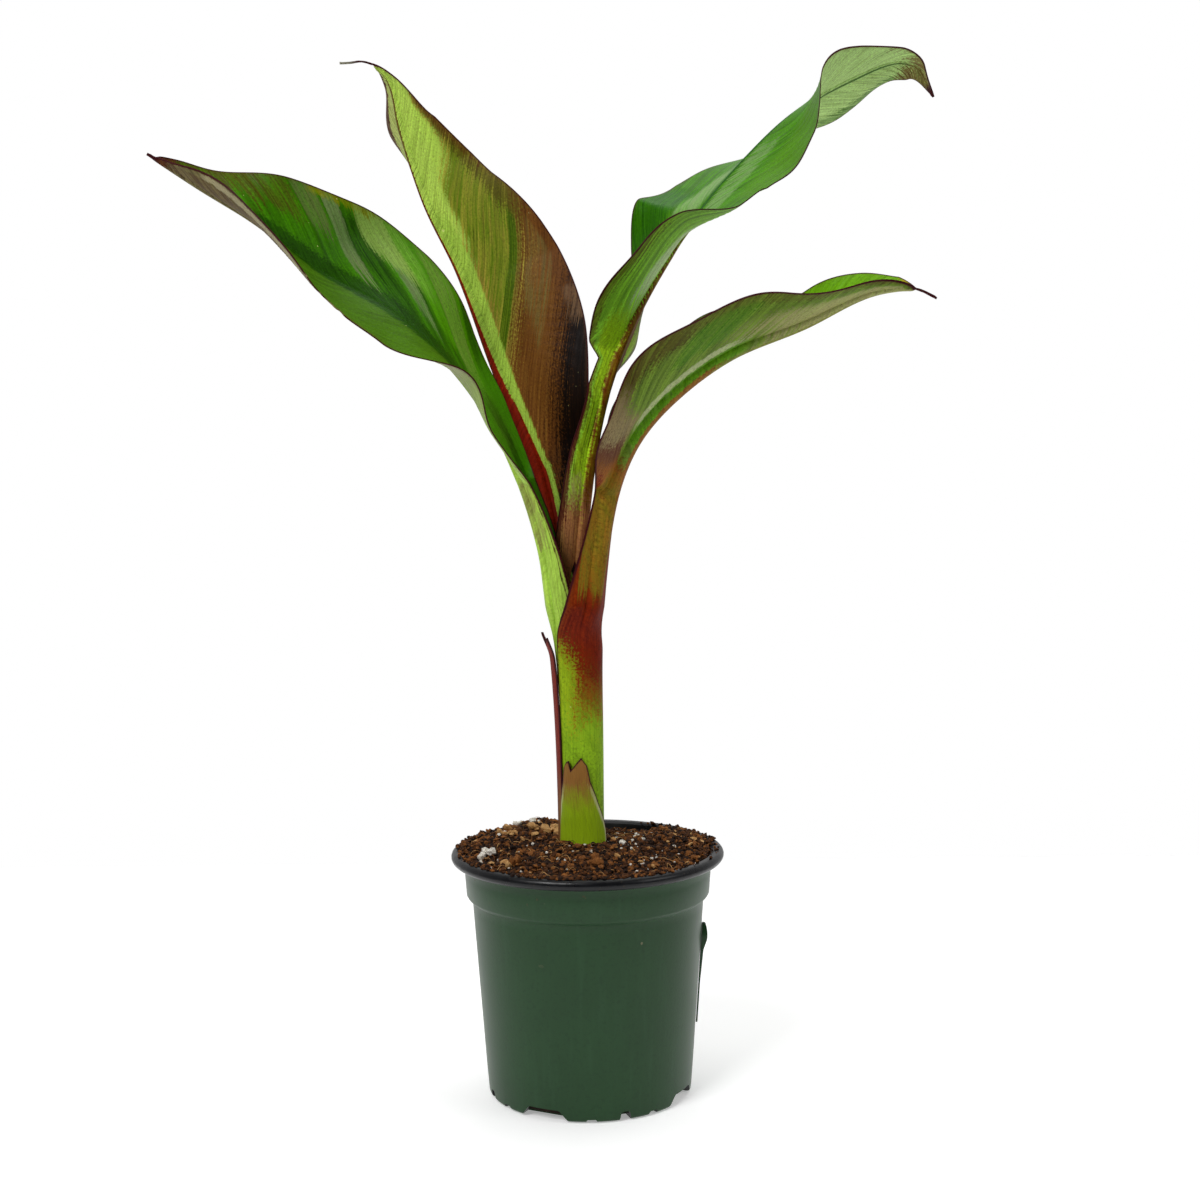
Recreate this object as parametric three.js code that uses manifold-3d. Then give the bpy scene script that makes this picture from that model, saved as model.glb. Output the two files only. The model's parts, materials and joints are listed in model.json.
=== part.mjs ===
// Young red-leaved banana plant in a round nursery pot.
// Millimetres, +Z up, origin at the middle of the pot's underside.
// +X runs to the right-hand leaves, -Y is the side that the cut leaf base faces.

import * as THREE from 'three';
import { mergeVertices } from 'three/addons/utils/BufferGeometryUtils.js';
import Module from 'manifold-3d';

const wasm = await Module();
wasm.setup();

// ---------------------------------------------------------------- driving dimensions

const gap = 0.3; // clearance between neighbouring solids
const leafGap = 1; // how much thicker a leaf is made to cut its neighbours clear of it

const pot = {
  rimRadius: 57.15, // 4.5 inch rim
  height: 103,
  footRadius: 42.9,
  shoulderRadius: 48.6, // wall just under the collar
  shoulderHeight: 83,
  collarRadius: 51,
  collarTopRadius: 51.8,
  collarTop: 97.5,
  lipDepth: 4.6,
  lipTop: 2, // flat on top of the lip
  lipRound: 1.3,
  stepRise: 1.4, // height of the slope from the shoulder out to the collar
  footRound: 1.2,
  wall: 1.4,
  floor: 1.6,
  segments: 64,
};

const notch = {
  quadrants: 4,
  wideAt: -26, // degrees from the front, towards the right
  wideTop: 17, // degrees of arc
  wideFoot: 28,
  wideHeight: 4.6,
  smallAt: [27, 45.8, 63.4], // degrees on from the wide notch
  smallFoot: 6.6,
  smallTop: 4.6,
  smallHeight: [1.2, 3.7, 1.6],
  reach: 7, // how far in from the wall each notch goes
  overshoot: 3, // how far out of the wall, and a third of it below the foot, its cutter starts
};

const soil = {
  edgeRadius: 50,
  edgeHeight: 100,
  crownHeight: 106,
  // share of the edge's radius, share of the rise to the crown
  mound: [[1, 0], [0.9, 0.35], [0.6, 0.8], [0.25, 1], [0, 1]],
  stemSink: 6, // depth of the stem's flat foot below the crown
};

const stem = {
  foot: soil.crownHeight - soil.stemSink,
  top: 205,
  segments: 28,
  sections: 9,
  // height, middle x, middle y, half width, half depth
  rings: [
    [100, -2.2, 0, 8.7, 8.4],
    [112, -2.2, 0, 8.4, 8],
    [150, -2.6, 0, 8.7, 8.2],
    [180, -3.6, 0, 9.3, 8.6],
    [205, -4.5, 0, 11.2, 9.2],
  ],
};

// Outlines of the old leaf bases on the stem's skin, seen from the front: x, then the share of
// the height from the soil to the tip. depth: from how far in front of the axis to how far behind.
const stubs = {
  front: {
    tip: 143,
    thickness: 1.8,
    depth: [-20, -3],
    outline: [
      [-11, 0], [7, 0], [5.5, 0.3], [2.5, 0.6], [-0.5, 0.84], [-2.5, 1], [-5, 0.87],
      [-6.8, 0.96], [-8.3, 0.57], [-10.5, 0.26],
    ],
  },
  left: {
    tip: 194,
    thickness: 1.3,
    depth: [-2.6, 7],
    outline: [[-16, 0], [-9.6, 0], [-11, 0.5], [-12, 0.82], [-14, 0.98], [-20, 1], [-20, 0.22]],
  },
};

// The flap on the pot's wall: at is in degrees from the front, shoulder how far above its middle
// it is widest.
const tab = {
  height: 65, length: 11, width: 7, shoulder: 2.2, thickness: 1.8, at: 90, tail: 38, tailWidth: 1.4,
};

const blade = {
  thickness: 2.1,
  threadHalf: 0.8, // half width of the thread that a tip dries to
  step: 8, // spacing of the sections along the rib
  cup: 0.06, // how far each half bellies out, as a share of its width
  sheathCup: 0.3, // the same where the stalk wraps the stem
  across: [0.3, 0.65, 1], // where a section has points between the rib and the margin
  steepest: 0.97, // the most that a half's rise may be, as a share of its width
};

// The midrib: half width for each millimetre of keel and besides, most share of the leaf's half
// width that it takes, and how much of it the tip has lost.
// blend: how many half ribs out the underside takes to turn to the blade's own slope.
const rib = { spread: 1.3, base: 1.2, most: 0.8, loss: 0.8, blend: 1.5 };

// Each leaf is one rib from the fork to its tip, with a near half (towards -Y) and a far half.
// foot: where the blade starts, measured along the rib. half: widest half. peak and full: where
// the blade is widest and how blunt it is. stalk and sheath: half widths of the leaf stalk at the
// blade and at the fork. keel: depth of the midrib under the blade. thread: how much of the tip is
// a dry thread. lean: 1 leans left, -1 right.
// rows: rib x, y, z, then how far the near and the far margin rise above the rib.
const leaves = {
  left: {
    lean: 1, foot: 68, half: 37, peak: 0.75, full: 0.8, stalk: 5, sheath: 12, keel: 1,
    thread: 3,
    rows: [
      [-13, -1, 206, 9, 4],
      [-16.5, -4, 230, 6, 3.5],
      [-24, -8, 256, 3, 3],
      [-35, -13, 281, -1, 5],
      [-51, -18, 304, 3, 13],
      [-73, -24, 325, -12.5, 26.5],
      [-101, -31, 341, -6, 30],
      [-124, -38, 359, 3, 21],
      [-146, -43, 373, 5, 8],
      [-164, -46, 385, 0, 0],
    ],
  },
  tall: {
    lean: 1, foot: 46, half: 46, peak: 0.66, full: 0.92, stalk: 4, sheath: 4, keel: 1.6,
    thread: 14,
    rows: [
      [-6, 3, 206, 2, 2],
      [-12.5, 10, 232, 3, 3],
      [-20, 18, 263, 24, 12],
      [-36, 26, 304, 44, 34],
      [-51, 30, 345, 38, 32],
      [-65, 32, 374, 29, 12],
      [-75, 32, 405, 15, -6],
      [-79, 32, 424, 3.5, -3.5],
      [-87, 30, 432, 0, 0],
      [-100, 28, 432, 0, 0],
    ],
  },
  twisted: {
    lean: -1, foot: 104, half: 38, peak: 0.7, full: 0.76, stalk: 7, sheath: 15, keel: 1,
    thread: 0,
    rows: [
      [-3, 3, 206, 10, 4],
      [-1, 3, 224, 12.5, 4],
      [4, 1, 261, 10, 4],
      [10, 3, 290, 7, 2],
      [20, 8, 321, 17.5, -4],
      [39, 17, 354, 4, 16],
      [49, 21, 367.5, -13.5, 23.5],
      [58, 25, 379, -20, 16.5],
      [81, 32, 403, -13, 0],
      [98, 37, 416, 6.5, -8],
      [117, 41, 426, 8.5, -10],
      [135, 44, 433, 2.5, -5.5],
      [146, 45, 430.5, -1, -4.5],
      [152, 45, 418, 0, 0],
    ],
  },
  right: {
    lean: -1, foot: 54, half: 32, peak: 0.7, full: 0.8, stalk: 6, sheath: 13, keel: 2.6,
    thread: 9,
    rows: [
      [2, -5, 206, 10, 4],
      [9.5, -8, 249, 5.5, 4],
      [19, -12, 272.5, 12, 11],
      [34.5, -15, 290.5, 18, 16.5],
      [58.5, -20, 307.5, 18.5, 17],
      [88, -26, 319, 13, 11],
      [112, -31, 330, 4, 9],
      [129, -34, 332, 0, 3],
      [139, -36, 328, 0, 0],
    ],
  },
};

// ---------------------------------------------------------------- finishes

const finish = (color, roughness) => new THREE.MeshStandardMaterial({ color, roughness, metalness: 0 });

const potGreen = finish(0x2f5a3c, 0.42);
const soilBrown = finish(0x3a2417, 0.95);
const stemGreen = finish(0x7d9a3a, 0.5);
const stubBrown = finish(0x7a5238, 0.8);
const stalkRed = finish(0x84412c, 0.45);
const stalkLime = finish(0x9cbb52, 0.45);
const bladeGreen = finish(0x3f7d2a, 0.38);
const bladeOlive = finish(0x6f6a34, 0.4);

// ---------------------------------------------------------------- solids

// A manifold solid from a closed three.js geometry.
function solidOf(geometry) {
  geometry.deleteAttribute('normal');
  geometry.deleteAttribute('uv');
  const merged = mergeVertices(geometry, 1e-4);
  return new wasm.Manifold(new wasm.Mesh({
    numProp: 3,
    vertProperties: new Float32Array(merged.attributes.position.array),
    triVerts: new Uint32Array(merged.index.array),
  }));
}

// The largest piece of a cut solid, as a three.js geometry.
function geometryOf(solid) {
  const pieces = solid.decompose();
  const largest = pieces.reduce((a, b) => (a.volume() > b.volume() ? a : b));
  const mesh = largest.getMesh();
  const geometry = new THREE.BufferGeometry();
  geometry.setAttribute('position', new THREE.BufferAttribute(mesh.vertProperties, 3));
  geometry.setIndex(new THREE.BufferAttribute(mesh.triVerts, 1));
  const faceted = geometry.toNonIndexed();
  faceted.computeVertexNormals();
  return faceted;
}

// Rings of equally many points, skinned one to the next. Each ring runs along one side and back
// along the other, so its ends are closed by strips between the two sides.
function loft(rings) {
  const count = rings[0].length;
  const faces = [];
  for (let r = 0; r < rings.length - 1; r++) {
    for (let i = 0; i < count; i++) {
      const a = r * count + i;
      const b = r * count + (i + 1) % count;
      faces.push(a, b, b + count, a, b + count, a + count);
    }
  }
  const last = (rings.length - 1) * count;
  for (let i = 0; i < count / 2 - 1; i++) {
    const [a, b, c, d] = [i, i + 1, count - 2 - i, count - 1 - i];
    faces.push(a, c, b, a, d, c);
    faces.push(last + a, last + b, last + c, last + a, last + c, last + d);
  }
  const geometry = new THREE.BufferGeometry();
  const flat = rings.flat().flatMap((p) => [p.x, p.y, p.z]);
  geometry.setAttribute('position', new THREE.Float32BufferAttribute(flat, 3));
  geometry.setIndex(faces);
  const solid = solidOf(geometry);
  if (solid.volume() > 0) return solid;
  for (let i = 0; i < faces.length; i += 3) [faces[i], faces[i + 1]] = [faces[i + 1], faces[i]];
  geometry.setIndex(faces);
  return solidOf(geometry);
}

// A smooth curve through values at stations, read at distance t.
function along(stations, values, t) {
  const last = stations.length - 1;
  let i = 0;
  while (i < last - 1 && t > stations[i + 1]) i++;
  const slope = (k) => {
    const a = Math.max(k - 1, 0);
    const b = Math.min(k + 1, last);
    return (values[b] - values[a]) / (stations[b] - stations[a]);
  };
  const span = stations[i + 1] - stations[i];
  const u = (t - stations[i]) / span;
  return (2 * u ** 3 - 3 * u ** 2 + 1) * values[i] + (u ** 3 - 2 * u ** 2 + u) * span * slope(i)
    + (3 * u ** 2 - 2 * u ** 3) * values[i + 1] + (u ** 3 - u ** 2) * span * slope(i + 1);
}

// ---------------------------------------------------------------- leaves

// Distances along the rib of each row of a leaf.
function stationsOf(leaf) {
  const at = [0];
  for (let i = 1; i < leaf.rows.length; i++) {
    const [a, b] = [leaf.rows[i - 1], leaf.rows[i]];
    at.push(at[i - 1] + Math.hypot(b[0] - a[0], b[1] - a[1], b[2] - a[2]));
  }
  return at;
}

// Half width of a leaf at distance t: a blade that swells and tapers, on a narrowing stalk.
function halfWidth(leaf, length, t) {
  const bladeLength = length - leaf.thread - leaf.foot;
  const s = THREE.MathUtils.clamp((t - leaf.foot) / bladeLength, 0, 1);
  const swell = leaf.half * Math.sin(Math.PI * s ** leaf.peak) ** leaf.full;
  const sheath = Math.max(1 - t / leaf.foot, 0) * (leaf.sheath - leaf.stalk);
  return Math.max(Math.hypot(swell, (leaf.stalk + sheath) * (1 - s)), blade.threadHalf);
}

// Shares of the half width at which a section has points: close over the rib, wide beyond it.
function sharesOf(ribHalf, width) {
  const onRib = ribHalf / width;
  return [0, onRib / 2, onRib, ...blade.across.map((share) => onRib + (1 - onRib) * share)];
}

// One section of a leaf: out along the upper face and back along the underside.
// extra makes it thicker all round, for cutting a neighbour clear.
function section(leaf, at, length, t, extra) {
  const column = (k, q) => along(at, leaf.rows.map((row) => row[k]), q);
  const point = (q) => new THREE.Vector3(column(0, q), column(1, q), column(2, q));
  const ahead = point(Math.min(t + 1, length)).sub(point(Math.max(t - 1, 0))).normalize();
  const away = new THREE.Vector3(0, 1, 0).addScaledVector(ahead, -ahead.y).normalize();
  const up = new THREE.Vector3().crossVectors(away, ahead).multiplyScalar(leaf.lean);
  const width = halfWidth(leaf, length, t);
  const taper = 1 - rib.loss * t / length;
  const ribHalf = Math.min(rib.spread * leaf.keel * taper + rib.base, rib.most * width);
  const middle = point(t);
  const cup = THREE.MathUtils.lerp(blade.sheathCup, blade.cup, Math.min(t / leaf.foot, 1));

  const half = (rise, side) => {
    const r = THREE.MathUtils.clamp(rise / width, -blade.steepest, blade.steepest);
    const flat = Math.sqrt(1 - r * r);
    return {
      out: up.clone().multiplyScalar(r).addScaledVector(away, side * flat),
      normal: up.clone().multiplyScalar(flat).addScaledVector(away, -side * r),
    };
  };
  const near = half(column(3, t), -1);
  const far = half(column(4, t), 1);
  const ridge = near.normal.clone().add(far.normal).normalize();
  const shares = sharesOf(ribHalf, width);
  const ordered = [
    ...shares.slice(1).reverse().map((share) => [near, share]),
    ...shares.map((share) => [far, share]),
  ];

  const upper = [];
  const under = [];
  for (const [part, share] of ordered) {
    const blendIn = THREE.MathUtils.smoothstep(share * width, 0, rib.blend * ribHalf);
    const normal = ridge.clone().lerp(part.normal, blendIn).normalize();
    const belly = cup * width * 4 * share * (1 - share);
    const ribCurve = Math.sqrt(Math.max(1 - (share * width / ribHalf) ** 2, 0));
    const thickness = blade.thickness + leaf.keel * taper * ribCurve;
    const surface = middle.clone().addScaledVector(part.out, share * width)
      .addScaledVector(part.normal, -belly);
    const edge = share === 1 ? extra : 0;
    surface.addScaledVector(part.out, edge);
    upper.push(surface.clone().addScaledVector(normal, extra));
    under.push(surface.clone().addScaledVector(normal, -thickness - extra));
  }
  return [...upper, ...under.reverse()];
}

// Moves an end ring outwards, away from the ring next to it.
function lengthen(ring, next, distance) {
  const outwards = ring[0].clone().sub(next[0]).setLength(distance);
  ring.forEach((p) => p.add(outwards));
}

// The part of a leaf between two distances along its rib.
function leafSolid(leaf, from, to, extra = 0) {
  const at = stationsOf(leaf);
  const length = at[at.length - 1];
  const end = Math.min(to, length);
  const margin = blade.step / 3;
  const distances = [from];
  for (let t = 0; t < end - margin; t += blade.step) {
    if (t > from + margin) distances.push(t);
  }
  distances.push(end);
  const rings = distances.map((t) => section(leaf, at, length, t, extra));
  lengthen(rings[0], rings[1], extra);
  lengthen(rings[rings.length - 1], rings[rings.length - 2], extra);
  return loft(rings);
}

// ---------------------------------------------------------------- pot, soil and stem

function potSolid() {
  const { wall, floor, lipRound, footRound } = pot;
  const lip = pot.rimRadius;
  const top = pot.height;
  const step = pot.shoulderHeight + pot.stepRise;
  const outline = [
    [0, 0],
    [pot.footRadius - footRound, 0],
    [pot.footRadius, footRound],
    [pot.shoulderRadius, pot.shoulderHeight],
    [pot.collarRadius, step],
    [pot.collarTopRadius, pot.collarTop],
    [lip - lipRound, top - pot.lipDepth],
    [lip, top - pot.lipDepth + lipRound],
    [lip, top - lipRound],
    [lip - lipRound, top],
    [lip - lipRound - pot.lipTop, top],
    [lip - 2 * lipRound - pot.lipTop, top - lipRound],
    [pot.collarTopRadius - wall, pot.collarTop],
    [pot.collarRadius - wall, step],
    [pot.shoulderRadius - wall, pot.shoulderHeight],
    [pot.footRadius - wall, floor + footRound],
    [pot.footRadius - wall - footRound, floor],
    [0, floor],
  ].map(([r, z]) => new THREE.Vector2(r, z));
  return solidOf(turned(outline, pot.segments));
}

// A lathe about Z.
function turned(outline, segments) {
  return new THREE.LatheGeometry(outline, segments).rotateX(Math.PI / 2);
}

// A wedge through the corner between wall and floor, its outline seen from outside.
function notchSolid(angle, topArc, footArc, height) {
  const outer = pot.footRadius + notch.overshoot;
  const inner = pot.footRadius - notch.reach;
  const below = -notch.overshoot / 3;
  const halfAt = (arc) => outer * Math.tan(THREE.MathUtils.degToRad(arc / 2));
  const outline = new THREE.Shape([
    new THREE.Vector2(-halfAt(footArc), below),
    new THREE.Vector2(halfAt(footArc), below),
    new THREE.Vector2(halfAt(topArc), height),
    new THREE.Vector2(-halfAt(topArc), height),
  ]);
  const wedge = new THREE.ExtrudeGeometry(outline, { depth: outer - inner, bevelEnabled: false });
  wedge.rotateX(Math.PI / 2).translate(0, -inner, 0).rotateZ(THREE.MathUtils.degToRad(angle));
  return solidOf(wedge);
}

function notchedPot() {
  let body = potSolid();
  for (let k = 0; k < notch.quadrants; k++) {
    const start = notch.wideAt + k * 360 / notch.quadrants;
    body = body.subtract(notchSolid(start, notch.wideTop, notch.wideFoot, notch.wideHeight));
    notch.smallAt.forEach((on, i) => {
      body = body.subtract(notchSolid(start + on, notch.smallTop, notch.smallFoot, notch.smallHeight[i]));
    });
  }
  return body;
}

function soilSolid() {
  const clear = pot.wall + gap;
  const rise = soil.crownHeight - soil.edgeHeight;
  const outline = [
    [0, pot.floor + gap],
    [pot.footRadius - clear - pot.stepRise, pot.floor + gap],
    [pot.footRadius - clear, pot.floor + gap + pot.stepRise],
    [pot.shoulderRadius - clear, pot.shoulderHeight + gap],
    [pot.collarRadius - clear, pot.shoulderHeight + pot.stepRise + 2 * gap],
    ...soil.mound.map(([share, up]) => [share * soil.edgeRadius, soil.edgeHeight + up * rise]),
  ].map(([r, z]) => new THREE.Vector2(r, z));
  return solidOf(turned(outline, pot.segments));
}

// The stem of wrapped leaf bases, oval in plan, extra thicker all round.
function stemSolid(extra = 0) {
  const column = (k, z) => along(stem.rings.map((ring) => ring[0]), stem.rings.map((ring) => ring[k]), z);
  const rings = [];
  for (let s = 0; s <= stem.sections; s++) {
    const z = stem.foot + (stem.top - stem.foot) * s / stem.sections;
    const end = s === 0 ? -extra : s === stem.sections ? extra : 0;
    const ring = [];
    for (let i = 0; i < stem.segments; i++) {
      const turn = 2 * Math.PI * i / stem.segments;
      ring.push(new THREE.Vector3(
        column(1, z) + (column(3, z) + extra) * Math.cos(turn),
        column(2, z) + (column(4, z) + extra) * Math.sin(turn),
        z + end,
      ));
    }
    rings.push(ring);
  }
  return loft(rings);
}

// ---------------------------------------------------------------- stubs and tab

// An old leaf base: a skin of the stem's own shape, kept where it lies behind an outline seen
// from the front.
function stubSolid({ tip, thickness, depth: [frontY, backY], outline }) {
  const foot = soil.crownHeight + gap;
  const shape = new THREE.Shape(outline.map(([x, up]) => (
    new THREE.Vector2(x, THREE.MathUtils.lerp(foot, tip, up)))));
  const block = new THREE.ExtrudeGeometry(shape, { depth: backY - frontY, bevelEnabled: false });
  block.rotateX(Math.PI / 2).translate(0, backY, 0);
  const skin = stemSolid(gap + thickness).subtract(stemSolid(gap));
  return skin.intersect(solidOf(block));
}

// A small teardrop flap that lies against the wall, with a thin tail down it.
function tabSolid() {
  const half = tab.width / 2;
  const end = tab.length / 2;
  const tail = tab.tailWidth / 2;
  const outline = new THREE.Shape();
  outline.moveTo(-tail, -tab.tail);
  outline.lineTo(tail, -tab.tail);
  outline.lineTo(tail, -end);
  outline.quadraticCurveTo(half, -end / 3, half, tab.shoulder);
  outline.quadraticCurveTo(half, end, 0, end);
  outline.quadraticCurveTo(-half, end, -half, tab.shoulder);
  outline.quadraticCurveTo(-half, -end / 3, -tail, -end);
  const flap = new THREE.ExtrudeGeometry(outline, {
    depth: tab.thickness, bevelEnabled: false, curveSegments: 5,
  });
  const slope = (pot.shoulderRadius - pot.footRadius) / pot.shoulderHeight;
  const wallAt = pot.footRadius + slope * tab.height;
  flap.rotateX(Math.PI / 2 + Math.atan(slope));
  flap.translate(0, -wallAt - gap, tab.height);
  flap.rotateZ(THREE.MathUtils.degToRad(tab.at));
  return solidOf(flap);
}

// ---------------------------------------------------------------- assembly

const plant = new THREE.Group();

function add(name, solid, material) {
  const mesh = new THREE.Mesh(geometryOf(solid), material);
  mesh.name = name;
  plant.add(mesh);
}

// Young leaves stand inside older ones, so each older stalk is cut clear of the younger.
const order = ['tall', 'twisted', 'left', 'right'];
const endless = 1000;
let inner = stemSolid(gap);
const stalks = {};
const blades = {};
for (const name of order) {
  const leaf = leaves[name];
  stalks[name] = leafSolid(leaf, 0, leaf.foot).subtract(inner);
  blades[name] = leafSolid(leaf, leaf.foot + gap, endless).subtract(inner);
  inner = inner.add(leafSolid(leaf, 0, endless, leafGap));
}

add('pot', notchedPot(), potGreen);
add('soil', soilSolid().subtract(stemSolid(gap)), soilBrown);
add('pseudostem', stemSolid(), stemGreen);
add('sheath_stub_front', stubSolid(stubs.front), stubBrown);
add('sheath_stub_left', stubSolid(stubs.left), stubBrown);
add('stalk_left', stalks.left, stalkLime);
add('stalk_tall', stalks.tall, stalkRed);
add('stalk_twisted', stalks.twisted, stalkLime);
add('stalk_right', stalks.right, stalkRed);
add('blade_left', blades.left, bladeGreen);
add('blade_tall', blades.tall, bladeOlive);
add('blade_twisted', blades.twisted, bladeGreen);
add('blade_right', blades.right, bladeGreen);
add('pot_tab', tabSolid(), potGreen);

export default plant;
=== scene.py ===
"""A young red-leaved banana plant in a round nursery pot.

The frame gives the solids. Here the pot, the soil, the stem of wrapped leaf bases, the leaf stalks
and the blades get their real thickness, relief and finish. Lengths are in millimetres until a mesh
is made, and in metres from there on.
"""

import json
import math
import random

import bpy
import numpy as np
from mathutils import Matrix, Vector, noise

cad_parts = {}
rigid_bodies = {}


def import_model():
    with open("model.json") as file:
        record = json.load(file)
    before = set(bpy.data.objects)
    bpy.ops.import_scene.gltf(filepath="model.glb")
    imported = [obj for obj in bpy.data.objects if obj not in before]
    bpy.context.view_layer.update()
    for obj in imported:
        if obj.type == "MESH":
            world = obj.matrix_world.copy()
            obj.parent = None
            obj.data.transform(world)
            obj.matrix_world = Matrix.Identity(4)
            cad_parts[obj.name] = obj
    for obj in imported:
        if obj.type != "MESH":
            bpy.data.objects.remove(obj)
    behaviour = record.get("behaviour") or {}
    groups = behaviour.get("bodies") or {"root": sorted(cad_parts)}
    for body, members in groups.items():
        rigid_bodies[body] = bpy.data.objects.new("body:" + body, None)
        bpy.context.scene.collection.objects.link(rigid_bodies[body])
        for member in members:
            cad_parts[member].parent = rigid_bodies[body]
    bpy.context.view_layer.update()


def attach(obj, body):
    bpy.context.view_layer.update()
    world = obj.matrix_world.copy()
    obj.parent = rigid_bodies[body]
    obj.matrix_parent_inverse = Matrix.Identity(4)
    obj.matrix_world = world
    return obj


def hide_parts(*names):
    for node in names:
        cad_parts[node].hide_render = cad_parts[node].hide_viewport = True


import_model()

MM = 0.001
BACK = np.array([0.0, 1.0, 0.0])  # away from the front of the plant

# ------------------------------------------------------------------ driving dimensions

POT = {
    "height": 103, "rim": 57.15, "foot": 42.9, "shoulder": 48.6, "shoulder_z": 83,
    "collar": 51, "collar_top": 51.8, "collar_z": 97.5, "wall": 1.0, "floor": 1.6, "sides": 160,
}
NOTCH = {
    "wide_at": -26, "wide_top": 17, "wide_foot": 28, "wide_height": 4.6,
    "small_at": (27, 45.8, 63.4), "small_arc": 6.6, "small_height": (1.2, 3.7, 1.6), "reach": 7,
}
LIP = {"radius": 2.3, "black_below_top": 5.2}
TAB = {"z": 65.0, "length": 11.0, "width": 7.0, "tail": 38.0, "tail_half": 0.6, "thick": 1.3, "off": 0.3}
SOIL = {"edge_z": 99.4, "crown_z": 105.6, "radius": 50.0, "floor_z": 2.0, "lip_z": 102.9, "reach": 55.2}
ROUGH = [(1.4, 0.045, 3.1, 0.3), (0.9, 0.22, 0, 5.0), (0.55, 0.75, 0, 9.0)]  # height, fineness, where
BANKS = [  # uneven places on the soil: height, middle and width
    (3.0, (-32, 10), 17), (4.6, (-22, 32), 16), (3.4, (37, 4), 16), (3.4, (-44, 2), 15),
    (3.0, (40, 24), 13), (2.4, (-6, -44), 24), (-4.5, (16, 42), 11),
]
SPILLS = [(-9, 9), (4, 22), (18, 22), (-58, 20), (-112, 20), (112, 18)]  # degrees round the lip, spread

# Height, middle x, middle y, half width and half depth of the stem.
STEM_ROWS = [
    (100, -1.9, 0, 9.0, 8.4),
    (112, -1.8, 0, 8.8, 8.0),
    (150, -2.1, 0, 9.2, 8.2),
    (180, -2.9, 0, 10.0, 8.6),
    (205, -3.9, 0, 11.8, 9.2),
]
FORK_Z = 206
FORK_BLEND = 20  # height over which the leaf bases settle onto the round stem
BASE_WALL = 1.1  # thickness of a leaf base round the stem
CORE_INSET = 1.8  # how far inside the stem's skin its core lies
# How the leaf bases wrap the stem, in degrees from the front: near has rows of a height and where the
# near margin is there, rib and far are where the rib and the far margin run, and lift is how far
# outside the stem's skin the base lies, in millimetres.
BASES = {
    "left": {"near": [(100, -8), (206, -8)], "rib": -95, "far": -215, "lift": -0.9},
    "right": {
        "near": [(100, -72), (160, -64), (185, -54), (195, -47), (200, -40), (206, -28)],
        "rib": 55, "far": 172, "lift": 0.1,
    },
}
SCALE_LIFT = 0.5  # how far outside the stem's skin the old leaf bases lie
SCALE_ROWS, SCALE_COLUMNS = 70, 33  # points along and across an old leaf base

# Each leaf is one rib, with a near half towards the camera and a far half. The rows give the rib's
# x, y and z, then how far the near and the far margin rise above it.
# foot: where stalk and blade meet, along the rib. swell: where the leaf begins to widen. half: its
# widest half. peak and full: where it is widest and how blunt. stalk and sheath: half widths at the
# blade and at the fork. keel: depth of the midrib. thread: how much of the tip is a dry thread.
# waves: height, spacing and phase. nicks: small bites from the near margin, each with its place on
# the rib, depth and width. lean: 1 leans left, -1 right.
LEAVES = {
    "left": {
        "lean": 1, "foot": 68, "half": 37, "peak": 0.75, "full": 0.8, "stalk": 5, "sheath": 12,
        "keel": 1.0, "thread": 3, "waves": (0.9, 41, 0.4), "swell": 52,
        "nicks": ((161, 1.7, 1.5), (165.5, 0.9, 2.6), (178, 0.8, 0.9), (170, 0.7, 0.8)),
        "rows": [
            (-13, -1, 206, 9, 5), (-16.5, -4, 230, 6, 6), (-24, -8, 256, 3, 5),
            (-35, -13, 281, -1, 6.5), (-51, -18, 304, 3, 14), (-73, -24, 325, -12.5, 26.5),
            (-101, -31, 341, -6, 30), (-124, -38, 359, 3, 21), (-146, -43, 373, 5, 8),
            (-164, -46, 385, 0, 0),
        ],
    },
    "tall": {
        "lean": 1, "foot": 46, "half": 45, "peak": 0.72, "full": 0.92, "stalk": 9, "sheath": 9,
        "keel": 1.6, "thread": 14, "waves": (0.5, 60, 1.1), "swell": 43,
        "rows": [
            (-6, 3, 206, 7, 6), (-12.5, 10, 232, 8, 5), (-20, 18, 263, 24, 12),
            (-36, 26, 304, 41.5, 34), (-51, 30, 345, 41, 32), (-65, 32, 374, 31, 12),
            (-75, 32, 405, 15, -6), (-79, 32, 424, 3.5, -3.5), (-87, 30, 432, 0, 0),
            (-100, 28, 432, 0, 0),
        ],
    },
    "twisted": {
        "lean": -1, "foot": 104, "half": 38, "peak": 0.7, "full": 0.76, "stalk": 7, "sheath": 12.6,
        "keel": 1.0, "thread": 0, "waves": (1.1, 36, 2.0), "swell": 101,
        "rows": [
            (-3, 5, 206, 9.5, 10.5), (-2, 4, 224, 12.5, 8), (2.4, 1, 261, 10, 4), (8.4, 3, 290, 7, 2),
            (20, 8, 321, 15.5, -5), (39, 17, 354, 4, 16), (49, 21, 367.5, -12, 24.5),
            (58, 25, 379, -17, 16), (81, 32, 403, -15, 0), (98, 37, 416, 6.5, -8),
            (117, 41, 426, 8.5, -10), (135, 44, 433, 2.5, -5.5), (146, 45, 430.5, -1, -4.5),
            (152, 45, 418, 0, 0),
        ],
    },
    "right": {
        "lean": -1, "foot": 54, "half": 32, "peak": 0.7, "full": 0.8, "stalk": 6, "sheath": 13,
        "keel": 3.3, "thread": 9, "waves": (1.7, 47, 2.6), "swell": 47,
        "rows": [
            (2, -5, 206, 10, 4), (9.5, -8, 249, 5.5, 4), (19, -12, 272.5, 12, 11),
            (34.5, -15, 290.5, 18, 16.5), (58.5, -20, 307.5, 18.5, 17), (88, -26, 319, 13, 11),
            (112, -31, 330, 4, 9), (129, -34, 332, 0, 3), (139, -36, 328, 0, 0),
        ],
    },
}
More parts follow.
